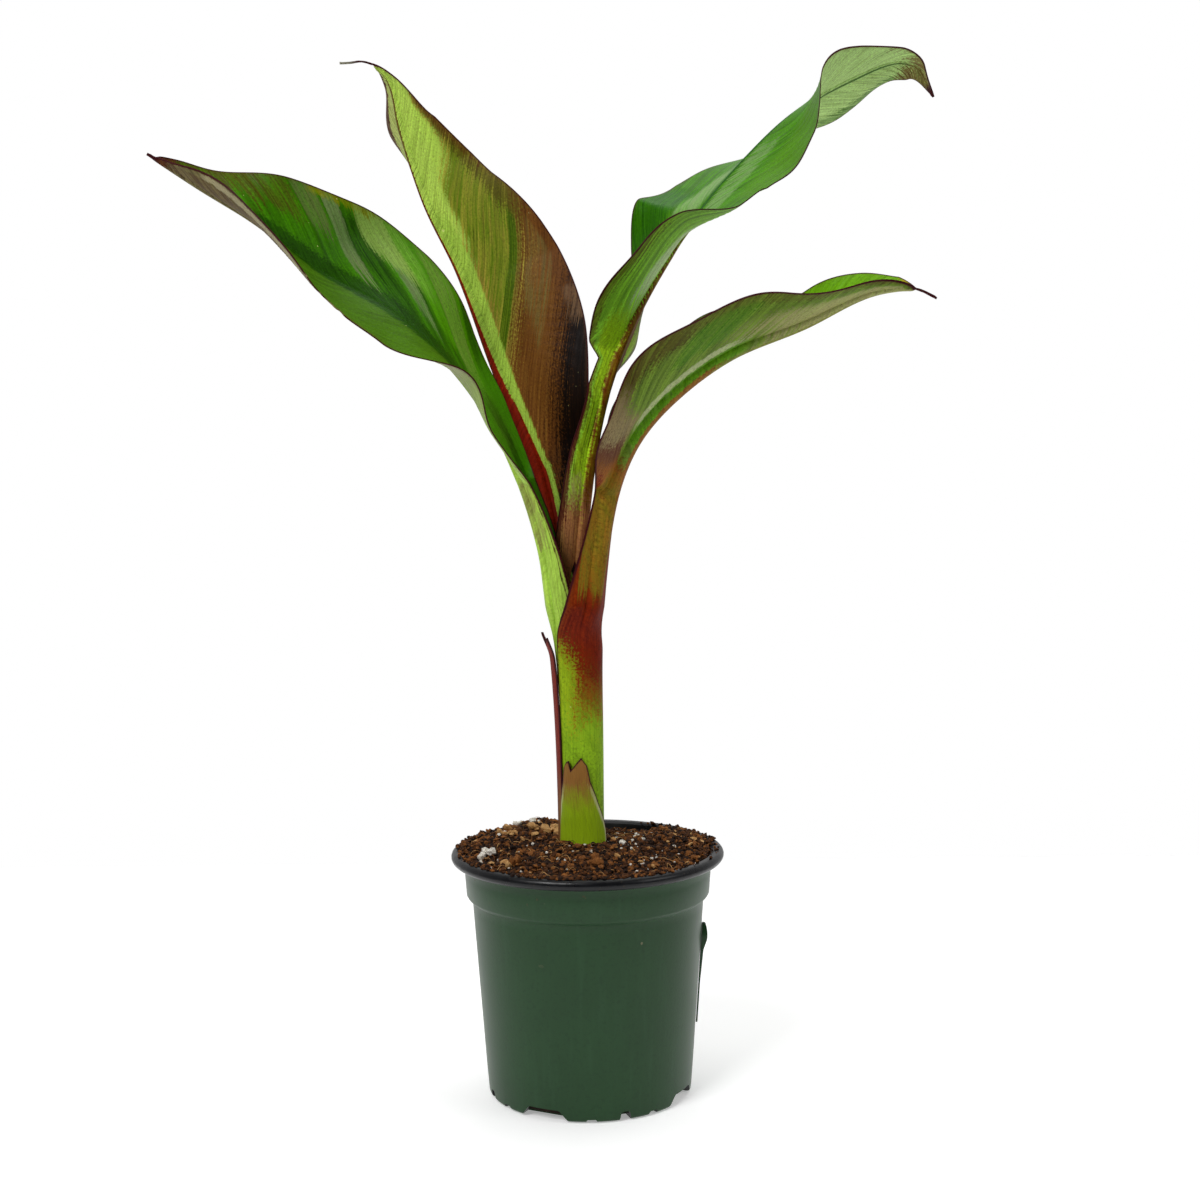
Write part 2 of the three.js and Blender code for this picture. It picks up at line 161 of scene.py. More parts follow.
SOLID_BLADE = 2.1  # thickness of the frame's blades, which the keel keeps under the rib
CUP, SHEATH_CUP = 0.06, 0.3  # hollow of a half, as a share of its width, on the blade and at the fork
BLADE_EDGE, BLADE_RIB = 0.5, 0.7  # real thicknesses
THREAD = 0.32  # half the width of the thread that a leaf's tip dries to
# The midrib's half width is spread times its keel, plus base. most and deepest are the most that
# its half width and depth may be, as shares of the leaf's half width. loss is how much of it is gone
# by the tip, and blend how many of its half widths the underside takes to turn to the blade's slope.
RIB = {"spread": 1.3, "base": 1.2, "most": 0.8, "loss": 0.8, "blend": 1.5, "deepest": 0.9}
GROOVE, GROOVE_HALF = 0.35, 0.9  # the channel along the top of the rib
STEEPEST = 0.97  # the most that a margin rises for each millimetre of half width
SLANT, BEND = 1.6, 0.008  # how far side veins run towards the tip as they go out, and bend
PLEATS = [(0.13, 7.3, 0), (0.08, 4.1, 1)]  # height, spacing and phase of the folds along the veins
SECTION = 1.1  # spacing of a leaf's sections
BLADE_DETAIL, STALK_DETAIL, BASE_DETAIL = 26, 10, 14  # points from the rib's side to the margin
TUCK = 0.6  # share of its width that a sunk stalk loses by its lower end


# ------------------------------------------------------------------ meshes

def new_piece(name, points, faces, skins, face_skins):
    """A mesh object at the origin from points in millimetres, with the skin of each face."""
    mesh = bpy.data.meshes.new(name)
    mesh.from_pydata((np.asarray(points, float) * MM).tolist(), [], faces)
    for skin in skins:
        mesh.materials.append(skin)
    mesh.polygons.foreach_set("material_index", np.asarray(face_skins, np.int32))
    mesh.update()
    piece = bpy.data.objects.new(name, mesh)
    bpy.context.scene.collection.objects.link(piece)
    return piece


def only(piece):
    """Makes one object the selected and active one."""
    for other in bpy.context.view_layer.objects:
        other.select_set(False)
    piece.select_set(True)
    bpy.context.view_layer.objects.active = piece


def smooth(piece, degrees=40):
    """Shades a piece smooth, apart from edges sharper than this."""
    only(piece)
    bpy.ops.object.shade_smooth_by_angle(angle=math.radians(degrees))


def face_outwards(piece):
    """Turns all faces of a closed mesh outwards."""
    only(piece)
    bpy.ops.object.mode_set(mode="EDIT")
    bpy.ops.mesh.select_all(action="SELECT")
    bpy.ops.mesh.normals_make_consistent(inside=False)
    bpy.ops.object.mode_set(mode="OBJECT")


def joined(name, pieces):
    """One object from several, keeping their materials."""
    only(pieces[0])
    for piece in pieces:
        piece.select_set(True)
    bpy.ops.object.join()
    whole = bpy.context.view_layer.objects.active
    whole.name = whole.data.name = name
    return whole


def hand_in(piece, slot, *nodes):
    """A finished piece rides on the plant and stands for its frame nodes."""
    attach(piece, "root")
    if nodes:
        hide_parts(*nodes)


def point_values(piece, name, values):
    """A number at each point, for the finishes to read."""
    attribute = piece.data.attributes.new(name, "FLOAT", "POINT")
    attribute.data.foreach_set("value", np.asarray(values, np.float32).ravel())


# ------------------------------------------------------------------ finishes

class Field:
    """A value that varies over a surface. Arithmetic on it adds Math nodes."""

    def __init__(self, paint, socket):
        self.paint = paint
        self.socket = socket

    def math(self, operation, *others):
        return self.paint.node("Math", {"operation": operation}, dict(enumerate((self, *others))))

    def __add__(self, other):
        return self.math("ADD", other)

    __radd__ = __add__

    def __sub__(self, other):
        return self.math("SUBTRACT", other)

    def __rsub__(self, other):
        return self.paint.node("Math", {"operation": "SUBTRACT"}, {0: other, 1: self})

    def __mul__(self, other):
        return self.math("MULTIPLY", other)

    def abs(self):
        return self.math("ABSOLUTE")

    def step(self, low, high):
        """0 below low and 1 above high, with a soft turn between."""
        return self.paint.node(
            "MapRange", {"interpolation_type": "SMOOTHSTEP"},
            {"Value": self, "From Min": low, "From Max": high}, "Result")


class Paint:
    """A material under construction."""

    def __init__(self, name, **constants):
        self.material = bpy.data.materials.new(name)
        self.material.use_nodes = True
        self.tree = self.material.node_tree
        self.shader = self.tree.nodes["Principled BSDF"]
        for socket, value in constants.items():
            self.shader.inputs[socket.replace("_", " ")].default_value = value

    def node(self, kind, settings=None, inputs=None, output=0):
        """Adds a node: its settings first, then its inputs, and returns one output."""
        node = self.tree.nodes.new("ShaderNode" + kind)
        for name, value in (settings or {}).items():
            setattr(node, name, value)
        for key, value in (inputs or {}).items():
            if isinstance(value, Field):
                self.tree.links.new(value.socket, node.inputs[key])
            else:
                node.inputs[key].default_value = value
        return Field(self, node.outputs[output])

    def attribute(self, name):
        """A number that point_values stored on the piece."""
        return self.node("Attribute", {"attribute_name": name}, output="Fac")

    def place(self):
        """Object coordinates."""
        return self.node("TexCoord", output="Object")

    def parts(self, vector):
        """The three numbers of a vector."""
        split = self.node("SeparateXYZ", inputs={0: vector}).socket.node
        return [Field(self, socket) for socket in split.outputs]

    def vector(self, x, y, z=0.0):
        return self.node("CombineXYZ", inputs={0: x, 1: y, 2: z})

    def noise(self, vector, scale=1.0, detail=2.0, roughness=0.5):
        """Cloudy values from 0 to 1, most of them near the middle."""
        return self.node("TexNoise", {}, {
            "Vector": vector, "Scale": scale, "Detail": detail, "Roughness": roughness}, "Fac")

    def stretched(self, x, y, z, detail=2.0, roughness=0.5):
        """Noise over three values, each scaled on its own."""
        return self.noise(self.vector(x, y, z), 1.0, detail, roughness)

    def mix(self, factor, first, second, blend="MIX"):
        """A colour between two, by a factor from 0 to 1."""
        def colour(value):
            return value if isinstance(value, Field) else (*value, 1.0)
        return self.node("Mix", {"data_type": "RGBA", "blend_type": blend, "clamp_factor": True},
                         {0: factor, 6: colour(first), 7: colour(second)}, 2)

    def finish(self, colour, roughness, relief, depth, strength):
        """The material with its colour, roughness and a relief finer than the mesh, depth in metres."""
        bump = {"Strength": strength, "Distance": depth, "Height": relief}
        normal = self.node("Bump", {}, bump, "Normal")
        for name, field in (("Base Color", colour), ("Roughness", roughness), ("Normal", normal)):
            self.tree.links.new(field.socket, self.shader.inputs[name])
        return self.material


def ink(red, green, blue):
    """A colour in screen values, 0 to 255, as the shaders count it."""
    return tuple(((c / 255 + 0.055) / 1.055) ** 2.4 if c > 10 else c / 255 / 12.92
                 for c in (red, green, blue))


# Colours of the leaves in screen values.
MAROON = (62, 16, 20)
BROWN = (92, 56, 28)
BRICK = (140, 40, 20)
GREEN = (58, 118, 6)
DEEP_GREEN = (34, 78, 0)
# Painted sheen: a pale grey-green laid on glossy leaf faces where they would reflect the light.
SHEEN_GREY_GREEN = (150, 168, 116)
CREAM = (196, 186, 148)


def flush(tint, strength, **where):
    """A patch of colour on a leaf; most are the leaf's own colour, a few are painted sheen and painted
    shade. where tells for some of along, share, side, distance, across, vein and belt where the patch
    begins, is full, starts to fade and has gone."""
    return ink(*tint), strength, where


def leaf_skin(name, seed, ground, flushes, gloss=0.45, hairs=0.4, speckle=0.45, flecks=0.0, tip=MAROON):
    """One face of a leaf, from the soil along stalk and blade to the tip.

    Side veins leave the rib at a steep angle and bend on towards the tip, and vein tells them apart
    by where they start on the rib, in millimetres. belt is across, but narrows towards the tip."""
    paint = Paint(name, IOR=1.28, Specular_IOR_Level=0.18)
    across = paint.attribute("across")  # millimetres from the rib, the near half negative
    along_leaf = paint.attribute("along")  # 0 at the blade's foot, 1 at its tip
    distance = paint.attribute("distance")  # millimetres along the rib from the fork
    edge = paint.attribute("edge")  # millimetres in from the margin
    out = across.abs()
    vein = distance - out * SLANT - out * out * BEND
    side = across.step(-0.4, 0.4)
    half_seed = side * 9.0 + seed  # so that the two halves differ
    on_blade = along_leaf.step(0.0, 0.1)

    def lines(across_scale, along_scale, detail):
        """Streaks that run up the stalk and turn out along the side veins on the blade."""
        on_stalk = paint.stretched(across * across_scale * 1.6, distance * along_scale, seed, detail)
        fanned = paint.stretched(vein * across_scale, out * along_scale, half_seed, detail)
        return on_stalk * (1.0 - on_blade) + fanned * on_blade

    bands = lines(0.22, 0.02, 2.0)
    streaks = lines(0.9, 0.05, 3.0)
    fine = lines(1.4, 0.025, 2.0)
    grain = paint.stretched(across * 1.3, distance * 0.9, seed + 3.0, 2.0, 0.7)
    drift = paint.stretched(across * 0.09, distance * 0.05, seed + 5.0)
    patchy = paint.stretched(vein * 0.3, out * 0.14, half_seed, 3.0, 0.6)

    # The places of the flushes, each a little ragged, so that no flush ends in a straight line.
    ragged = {
        "along": along_leaf + (drift - 0.5) * 0.12 + (streaks - 0.5) * 0.07,
        "share": paint.attribute("share").abs() + (streaks - 0.5) * 0.2,
        "side": across,
        "distance": distance + (streaks - 0.5) * 22.0 + (drift - 0.5) * 16.0,
        "across": across + (streaks - 0.5) * 1.2,
        "vein": vein + (drift - 0.5) * 3.0,
        "belt": across * (along_leaf * along_leaf * 16.0 + 1.0),
    }
    mottle = (grain - 0.5) * 2.4 + (streaks - 0.5) * 2.2
    ground = ink(*ground)
    colour = paint.mix(bands.step(0.3, 0.7), [c * 0.7 for c in ground], [c * 1.3 for c in ground])
    for tint, strength, where in flushes:
        mask = 1.0
        for key, (begins, full, fades, gone) in where.items():
            mask = ragged[key].step(begins, full) * (1.0 - ragged[key].step(fades, gone)) * mask
        mask = (mask * 1.9 + mottle).step(0.3, 1.3) * mask.step(0.0, 0.2)
        loose = 4.0 * (1.0 - strength)  # a weak flush is also the more broken up
        colour = paint.mix(mask * ((streaks + patchy - 1.0) * loose + strength), colour, tint)

    # Broad patches, then dark and light streaks, dark and light specks, and hair-thin veins.
    for factor, shade in (
            (patchy.step(0.46, 0.62) * 0.4, (0.62, 0.64, 0.5)),
            (streaks.step(0.5, 0.68) * 0.4, (0.45, 0.48, 0.36)),
            (0.4 - streaks.step(0.34, 0.5) * 0.4, (1.45, 1.45, 1.3)),
            (grain.step(0.53, 0.68) * speckle, (0.36, 0.32, 0.24)),
            (speckle - grain.step(0.34, 0.47) * speckle, (1.4, 1.45, 1.2)),
            ((1.0 - (fine - 0.5).abs().step(0.0, 0.03)) * hairs, (0.3, 0.3, 0.2))):
        colour = paint.mix(factor, colour, shade, "MULTIPLY")
    if flecks:
        spots = paint.stretched(across * 0.75, distance * 0.35, seed, 1.0).step(0.79, 0.82)
        colour = paint.mix(spots * flecks, colour, ink(228, 222, 150))

    # A brown halo inside the margin, the dark margin itself, and the tip.
    halo = 1.0 - (edge + (bands - 0.5) * 3.0 + (grain - 0.5) * 3.0).step(0.3, 1.8)
    colour = paint.mix(halo * 0.22, colour, ink(*BROWN))
    colour = paint.mix(1.0 - (edge + (grain - 0.5) * 0.6).step(0.25, 0.6), colour, ink(*MAROON))
    colour = paint.mix(along_leaf.step(0.965, 0.985), colour, ink(*tip))
    rough = gloss + (bands - 0.5) * 0.2 + (fine - 0.5) * 0.15
    return paint.finish(colour, rough, fine * 0.6 + streaks + grain * 0.12, 0.00022, 0.6)


# ------------------------------------------------------------------ the leaf rule

def smooth_rows(stations, rows, t):
    """Smooth curves through all columns of the rows, read at distances t. They run straight on
    before the first row."""
    stations, rows, t = np.asarray(stations, float), np.asarray(rows, float), np.asarray(t, float)
    ahead = np.minimum(np.arange(len(rows)) + 1, len(rows) - 1)
    behind = np.maximum(np.arange(len(rows)) - 1, 0)
    slopes = (rows[ahead] - rows[behind]) / (stations[ahead] - stations[behind])[:, None]
    i = np.clip(np.searchsorted(stations, t, side="right") - 1, 0, len(rows) - 2)
    span = (stations[i + 1] - stations[i])[:, None]
    u = np.clip((t - stations[i])[:, None] / span, 0, 1)
    curve = ((2 * u**3 - 3 * u**2 + 1) * rows[i] + (u**3 - 2 * u**2 + u) * span * slopes[i]
             + (3 * u**2 - 2 * u**3) * rows[i + 1] + (u**3 - u**2) * span * slopes[i + 1])
    return curve + np.minimum(t, 0)[:, None] * slopes[0]


def smoothstep(low, high, x):
    """0 below low and 1 above high, with a soft turn between."""
    u = np.clip((np.asarray(x, float) - low) / (high - low), 0, 1)
    return u * u * (3 - 2 * u)


def unit(v):
    return v / np.linalg.norm(v, axis=-1, keepdims=True)


class Leaf:
    """The rule that places every section of one leaf."""

    def __init__(self, name):
        self.nicks = ()
        self.swell = LEAVES[name]["foot"]
        self.tuck = 0  # how much narrower the leaf gets for each millimetre below the fork
        for key, value in LEAVES[name].items():
            setattr(self, key, value)
        self.rows = np.array(self.rows, float)
        steps = np.linalg.norm(np.diff(self.rows[:, :3], axis=0), axis=1)
        self.stations = np.concatenate([[0], np.cumsum(steps)])
        self.length = self.stations[-1]

    def half_width(self, t):
        """From the rib to the margin at distances t, with no regard to the nicks."""
        s = np.clip((t - self.swell) / (self.length - self.thread - self.swell), 0, 1)
        swell = self.half * np.sin(np.pi * s**self.peak) ** self.full
        sheath = np.clip(1 - t / self.foot, 0, 1) * (self.sheath - self.stalk)
        tucked = 1 + self.tuck * np.minimum(t, 0)
        return np.maximum(np.hypot(swell, (self.stalk + sheath) * (1 - s)) * tucked, THREAD)

    def columns(self, detail):
        """Signed places across: whole numbers 1 to the rib's side, then on to the margin."""
        rib = np.array([0.0, 0.25, 0.5, 0.75, 0.92, 1.0])
        rest = np.linspace(0, 1, detail + 1)[1:]
        half = np.concatenate([rib, 1 + rest])
        return np.concatenate([-half[:0:-1], half])

    def sections(self, t, detail):
        """Upper and under points of the sections at distances t, with what the finishes read."""
        t = np.asarray(t, float)
        row = smooth_rows(self.stations, self.rows, t)
        middle = row[:, :3]
        nudge = 0.5  # millimetres either way, for the rib's direction
        ahead = unit(smooth_rows(self.stations, self.rows, np.minimum(t + nudge, self.length))[:, :3]
                     - smooth_rows(self.stations, self.rows, t - nudge)[:, :3])
        away = unit(BACK - (ahead @ BACK)[:, None] * ahead)
        up = np.cross(away, ahead) * self.lean
        width = self.half_width(t)
        taper = 1 - RIB["loss"] * np.clip(t, 0, None) / self.length
        rib_half = np.minimum(RIB["spread"] * self.keel * taper + RIB["base"], RIB["most"] * width)
        cup = SHEATH_CUP + (CUP - SHEATH_CUP) * np.clip(t / self.foot, 0, 1)

        place = self.columns(detail)
        size = np.abs(place)[None, :]
        side = np.where(place < 0, -1.0, 1.0)
        out = np.where(size <= 1, size * rib_half[:, None],
                       rib_half[:, None] + (size - 1) * (width - rib_half)[:, None])
        share = out / width[:, None]
        for at, deep, wide in self.nicks:
            bite = deep * np.exp(-np.abs((t - at) / wide) ** 3)[:, None]
            out = np.where(place < 0, out - bite * share**8, out)

        rise = np.where(place[None, :] < 0, row[:, 3:4], row[:, 4:5]) / width[:, None]
        rise = np.clip(rise, -STEEPEST, STEEPEST)
        flat = np.sqrt(1 - rise**2)
        outwards = rise[..., None] * up[:, None] + (side * flat)[..., None] * away[:, None]
        normal = flat[..., None] * up[:, None] - (side * rise)[..., None] * away[:, None]
        ridge = unit(normal[:, 0] + normal[:, -1])
        turn = smoothstep(0, 1, out / (RIB["blend"] * rib_half[:, None]))[..., None]
        lifted = unit(ridge[:, None] * (1 - turn) + normal * turn)

        s = np.clip((t - self.foot) / (self.length - self.foot), 0, 1)[:, None]
        tall, spacing, phase = self.waves
        wave = tall * share**2 * np.sin(2 * np.pi * t[:, None] / spacing + phase + 1.7 * side)
        wave = wave * smoothstep(0, 0.15, s) * (1 - smoothstep(0.92, 1, s))
        vein = t[:, None] - SLANT * out - BEND * out**2
        pleat = sum(high * np.sin(2 * np.pi * vein / apart + start) for high, apart, start in PLEATS)
        wave = wave + pleat * smoothstep(0.05, 0.25, s) * smoothstep(0.12, 0.4, share) * (1 - share**6)
        belly = cup[:, None] * width[:, None] * 4 * share * (1 - share)
        upper = (middle[:, None] + outwards * out[..., None] - normal * belly[..., None]
                 + lifted * wave[..., None])

        rib_curve = np.sqrt(np.clip(1 - (out / rib_half[:, None]) ** 2, 0, 1))
        on_blade = smoothstep(0, 1, (t / self.foot - 0.6) / 0.6)[:, None]
        thick = BLADE_EDGE + (BLADE_RIB - BLADE_EDGE) * (1 - share)
        depth = (SOLID_BLADE - BLADE_RIB + self.keel) * taper
        depth = np.minimum(depth, RIB["deepest"] * width)[:, None]
        under = upper - lifted * (thick + depth * rib_curve)[..., None]
        groove = GROOVE * taper[:, None] * np.exp(-(out / GROOVE_HALF) ** 2) * on_blade
        upper = upper - lifted * groove[..., None]
        told = {
            "across": out * side, "share": share * side, "along": np.broadcast_to(s, out.shape),
            "distance": np.broadcast_to(t[:, None], out.shape), "edge": width[:, None] - out,
        }
        return upper, under, told


def sheet_piece(name, upper, under, told, skins):
    """A closed thin piece from the upper and under points of its sections. The first skin is on
    its upper face, the second on the under face and all round the edge."""
    rows, columns = upper.shape[:2]
    points = np.concatenate([upper.reshape(-1, 3), under.reshape(-1, 3)])
    offset = rows * columns
    faces = []
    face_skins = []

    def quad(a, b, c, d, skin):
        faces.append((a, b, c, d))
        face_skins.append(skin)

    for r in range(rows - 1):
        for c in range(columns - 1):
            a = r * columns + c
            quad(a, a + 1, a + columns + 1, a + columns, 0)
            a += offset
            quad(a, a + columns, a + columns + 1, a + 1, 1)
        for c, skin in ((0, 1), (columns - 1, 1)):
            a, b = r * columns + c, (r + 1) * columns + c
            loop = (a, b, b + offset, a + offset)
            quad(*(loop if c == 0 else loop[::-1]), skin)
    for r in (0, rows - 1):
        for c in range(columns - 1):
            a = r * columns + c
            loop = (a, a + offset, a + offset + 1, a + 1)
            quad(*(loop if r == 0 else loop[::-1]), 1)
    piece = new_piece(name, points, faces, skins, face_skins)
    for key, values in told.items():
        point_values(piece, key, np.concatenate([np.ravel(values), np.ravel(values)]))
    face_outwards(piece)
    smooth(piece, 50)
    return piece


# ------------------------------------------------------------------ leaves

def blade_piece(name, skins):
    leaf = Leaf(name)
    t = np.linspace(leaf.foot, leaf.length, int((leaf.length - leaf.foot) / SECTION))
    upper, under, told = leaf.sections(t, BLADE_DETAIL)
    piece = sheet_piece(f"leaf_{name}", upper, under, told, skins)
    hand_in(piece, "leaf_blade", f"blade_{name}")


def stalk_piece(name, skins, sunk):
    """A leaf's stalk. It starts as far below the fork as it is sunk, inside the stem."""
    leaf = Leaf(name)
    leaf.tuck = TUCK / sunk if sunk else 0
    t = np.linspace(-sunk, leaf.foot, int((leaf.foot + sunk) / SECTION))
    upper, under, told = leaf.sections(t, STALK_DETAIL)
    piece = sheet_piece(f"leafstalk_{name}", upper, under, told, skins)
    hand_in(piece, "stalk_skin", f"stalk_{name}")


# ------------------------------------------------------------------ the stem of wrapped leaf bases

def stem_oval(z, angle, extra):
    """Points on the stem, grown by extra, at heights z. Angles run from the front towards +X."""
    row = smooth_rows([r[0] for r in STEM_ROWS], STEM_ROWS, z)
    x = row[:, 1:2] + (row[:, 3:4] + extra) * np.sin(angle)
    y = row[:, 2:3] - (row[:, 4:5] + extra) * np.cos(angle)
    return np.stack([x, y, np.broadcast_to(z[:, None], x.shape)], -1)


def wrapped_base(name, skins, near, rib, far, lift):
    """The base of one leaf, wrapped round the stem from the fork down to the soil."""
    leaf = Leaf(name)
    t = np.linspace(-(FORK_Z - STEM_ROWS[0][0]), 0, 110)
    upper, under, told = leaf.sections(t, BASE_DETAIL)
    z = FORK_Z + t
    settled = smoothstep(0, FORK_BLEND, -t)[:, None, None]
    heights, degrees = zip(*near)
    near_angle = np.radians(np.interp(z, heights, degrees))[:, None]
    share = np.abs(told["share"])
    from_rib = np.where(told["across"] < 0, near_angle - math.radians(rib), math.radians(far - rib))
    angle = math.radians(rib) + share * from_rib
    wall = BASE_WALL * (1 - 0.75 * share**6)  # thinner at its margins
    upper = upper * (1 - settled) + stem_oval(z, angle, lift - wall) * settled
    under = under * (1 - settled) + stem_oval(z, angle, lift) * settled
    round_edge = np.abs(from_rib) * (1 - share) * STEM_ROWS[0][3]
    told["edge"] = told["edge"] * (1 - settled[..., 0]) + round_edge * settled[..., 0]
    return sheet_piece(f"base_{name}", upper, under, told, skins)


def stem_core(skin):
    """What the wrapped bases close round. It reads as stalk all over, well away from any margin."""
    foot, top = STEM_ROWS[0][0], FORK_Z - 4
    core = drawn_up("core", [(1, z) for z in range(foot, top + 1, 3)], 48)
    z = np.array([vertex.co.z / MM for vertex in core.data.vertices])
    angle = np.array([[math.atan2(vertex.co.x, -vertex.co.y)] for vertex in core.data.vertices])
    points = stem_oval(z, angle, -CORE_INSET)[:, 0]
    core.data.vertices.foreach_set("co", (points * MM).ravel())
    core.data.materials.append(skin)
    for key in ("across", "share", "along", "edge"):
        point_values(core, key, np.full(len(points), 5.0))
    point_values(core, "distance", z - FORK_Z)
    face_outwards(core)
    smooth(core)
    return core


def pseudostem(left_skins, right_skins):
    left = wrapped_base("left", left_skins, **BASES["left"])
    right = wrapped_base("right", right_skins, **BASES["right"])
    stem = joined("stem_of_leaf_bases", [stem_core(left_skins[1]), left, right])
    hand_in(stem, "stem_skin", "pseudostem")


# ------------------------------------------------------------------ pot

def pot_skin():
    """Green plastic with faint draw marks, scuffs, and soil dust near the top."""
    paint = Paint("pot_green", IOR=1.32)
    place = paint.place()
    x, y, z = paint.parts(place)
    mottle = paint.noise(place, 45.0, 3.0)
    drawn = paint.stretched(x * 300.0, y * 300.0, z * 8.0)
    orange_peel = paint.noise(place, 1100.0, 2.0)
    speck = paint.noise(place, 700.0, 2.0, 0.7)
    scuffs = paint.stretched(x * 130.0, y * 130.0, z * 60.0, 4.0, 0.7).step(0.70, 0.76)
    dust = paint.noise(place, 380.0, 2.0).step(0.72, 0.76) * z.step(0.075, 0.092)
    crumb = paint.noise(place, 150.0, 1.0).step(0.76, 0.78) * z.step(0.06, 0.09)
    colour = paint.mix(mottle, ink(26, 57, 29), ink(34, 68, 37))
    colour = paint.mix(drawn.step(0.5, 0.8) * 0.12, colour, ink(52, 88, 60))
    colour = paint.mix(speck.step(0.5, 0.7) * 0.3, colour, ink(20, 46, 26))
    colour = paint.mix(scuffs * 0.2, colour, ink(86, 116, 92))
    colour = paint.mix(dust * 0.45, colour, ink(84, 70, 48))
    colour = paint.mix(crumb * 0.8, colour, ink(150, 136, 108))
    rough = 0.38 + (mottle - 0.5) * 0.12 + (scuffs + dust) * 0.2
    return paint.finish(colour, rough, orange_peel * 0.3 + mottle, 0.0003, 0.3)


def lip_skin():
    """Black plastic, worn and dusty."""
    paint = Paint("pot_black", IOR=1.36)
    place = paint.place()
    wear = paint.noise(place, 240.0, 3.0)
    dust = paint.noise(place, 900.0, 2.0).step(0.64, 0.72)
    colour = paint.mix(wear, ink(6, 6, 9), ink(15, 16, 20))
    colour = paint.mix(dust * 0.35, colour, ink(74, 62, 48))
    return paint.finish(colour, 0.2 + wear * 0.22 + dust * 0.3, wear, 0.0003, 0.4)


def drawn_up(name, rings, sides):
    """A round wall drawn up from a disc: each ring is (radius, height) in millimetres."""
    radius, z = rings[0]
    bpy.ops.mesh.primitive_circle_add(vertices=sides, radius=radius * MM, fill_type="NGON",
                                      location=(0, 0, z * MM))
    piece = bpy.context.active_object
    piece.name = piece.data.name = name
    only(piece)
    bpy.ops.object.transform_apply(location=True, rotation=True, scale=True)
    bpy.ops.object.mode_set(mode="EDIT")
    bpy.ops.mesh.select_mode(type="EDGE")
    bpy.ops.mesh.select_all(action="SELECT")
    bpy.ops.mesh.region_to_loop()
    for next_radius, next_z in rings[1:]:
        bpy.ops.mesh.extrude_edges_move(
            TRANSFORM_OT_translate={"value": (0, 0, (next_z - z) * MM)})
        grow = next_radius / radius
        bpy.ops.transform.resize(value=(grow, grow, 1), center_override=(0, 0, next_z * MM))
        radius, z = next_radius, next_z
    bpy.ops.mesh.edge_face_add()
    bpy.ops.object.mode_set(mode="OBJECT")
    return piece


def arc(middle, radius, start, end, steps):
    """Points on a round stretch of an outline, from one angle to another in degrees."""
    turns = [math.radians(degrees) for degrees in np.linspace(start, end, steps)]
    return [(middle[0] + radius * math.cos(a), middle[1] + radius * math.sin(a)) for a in turns]


def pot_outline():
    """From the edge of the underside up the outer wall, over the lip and down inside to the floor."""
    wall, top, rim = POT["wall"], POT["height"], POT["rim"]
    foot, shoulder, shoulder_z = POT["foot"], POT["shoulder"], POT["shoulder_z"]
    collar, collar_top, collar_z = POT["collar"], POT["collar_top"], POT["collar_z"]
    lip = LIP["radius"]
    outer = [(foot - 1.5, 0)] + arc((foot - 1.5, 1.5), 1.5, -60, 0, 4)

    def wall_at(z):
        return foot + (shoulder - foot) * z / shoulder_z

    outer += [(wall_at(z), z) for z in (12, 24, 36, 48, 60, 72, 79)]
    outer += [(shoulder - 0.1, shoulder_z - 1.2), (shoulder + 0.25, shoulder_z - 0.2),
              (collar - 0.5, shoulder_z + 1.1), (collar, shoulder_z + 2.0)]
    outer += [(collar_top - 0.2, collar_z - 4), (collar_top, collar_z - 0.6),
              (collar_top + 0.7, collar_z + 0.4)]
    outer += [(rim - 3.6, top - 2 * lip - 0.2)]
    outer += arc((rim - lip, top - lip), lip, -75, 90, 9)
    outer += [(rim - lip - 2.0, top - 0.2), (rim - lip - 3.0, top - 1.0)]
    inner = [(collar_top - wall, collar_z + 0.6), (collar - wall, shoulder_z + 1.6),
             (shoulder - wall, shoulder_z - 0.6), (wall_at(6) - wall, 6),
             (foot - wall - 1.0, POT["floor"] + 0.5), (foot - wall - 2.4, POT["floor"])]
    return outer + inner


def notch_cutter(angle, top_arc, foot_arc, height):
    """A tapered block through the corner of wall and floor."""
    outer, inner = POT["foot"] + 3, POT["foot"] - NOTCH["reach"]
    foot_half = outer * math.tan(math.radians(foot_arc / 2))
    narrow = math.tan(math.radians(top_arc / 2)) / math.tan(math.radians(foot_arc / 2))
    middle = (0, -(outer + inner) / 2 * MM, (height - 1) / 2 * MM)
    bpy.ops.mesh.primitive_cube_add(size=1, location=middle)
    cutter = bpy.context.active_object
    cutter.scale = (2 * foot_half * MM, (outer - inner) * MM, (height + 1) * MM)
    only(cutter)
    bpy.ops.object.transform_apply(location=True, rotation=True, scale=True)
    for polygon in cutter.data.polygons:
        polygon.select = polygon.normal.z > 0.9
    for vertex in cutter.data.vertices:
        vertex.select = vertex.co.z > 0
    for edge in cutter.data.edges:
        edge.select = all(cutter.data.vertices[i].select for i in edge.vertices)
    bpy.ops.object.mode_set(mode="EDIT")
    bpy.ops.transform.resize(value=(narrow, 1, 1), center_override=(0, 0, 0))
    bpy.ops.mesh.bevel(offset=min(0.9, height * 0.3) * MM, segments=3)
    bpy.ops.object.mode_set(mode="OBJECT")
    cutter.data.transform(Matrix.Rotation(math.radians(angle), 4, "Z"))
    return cutter


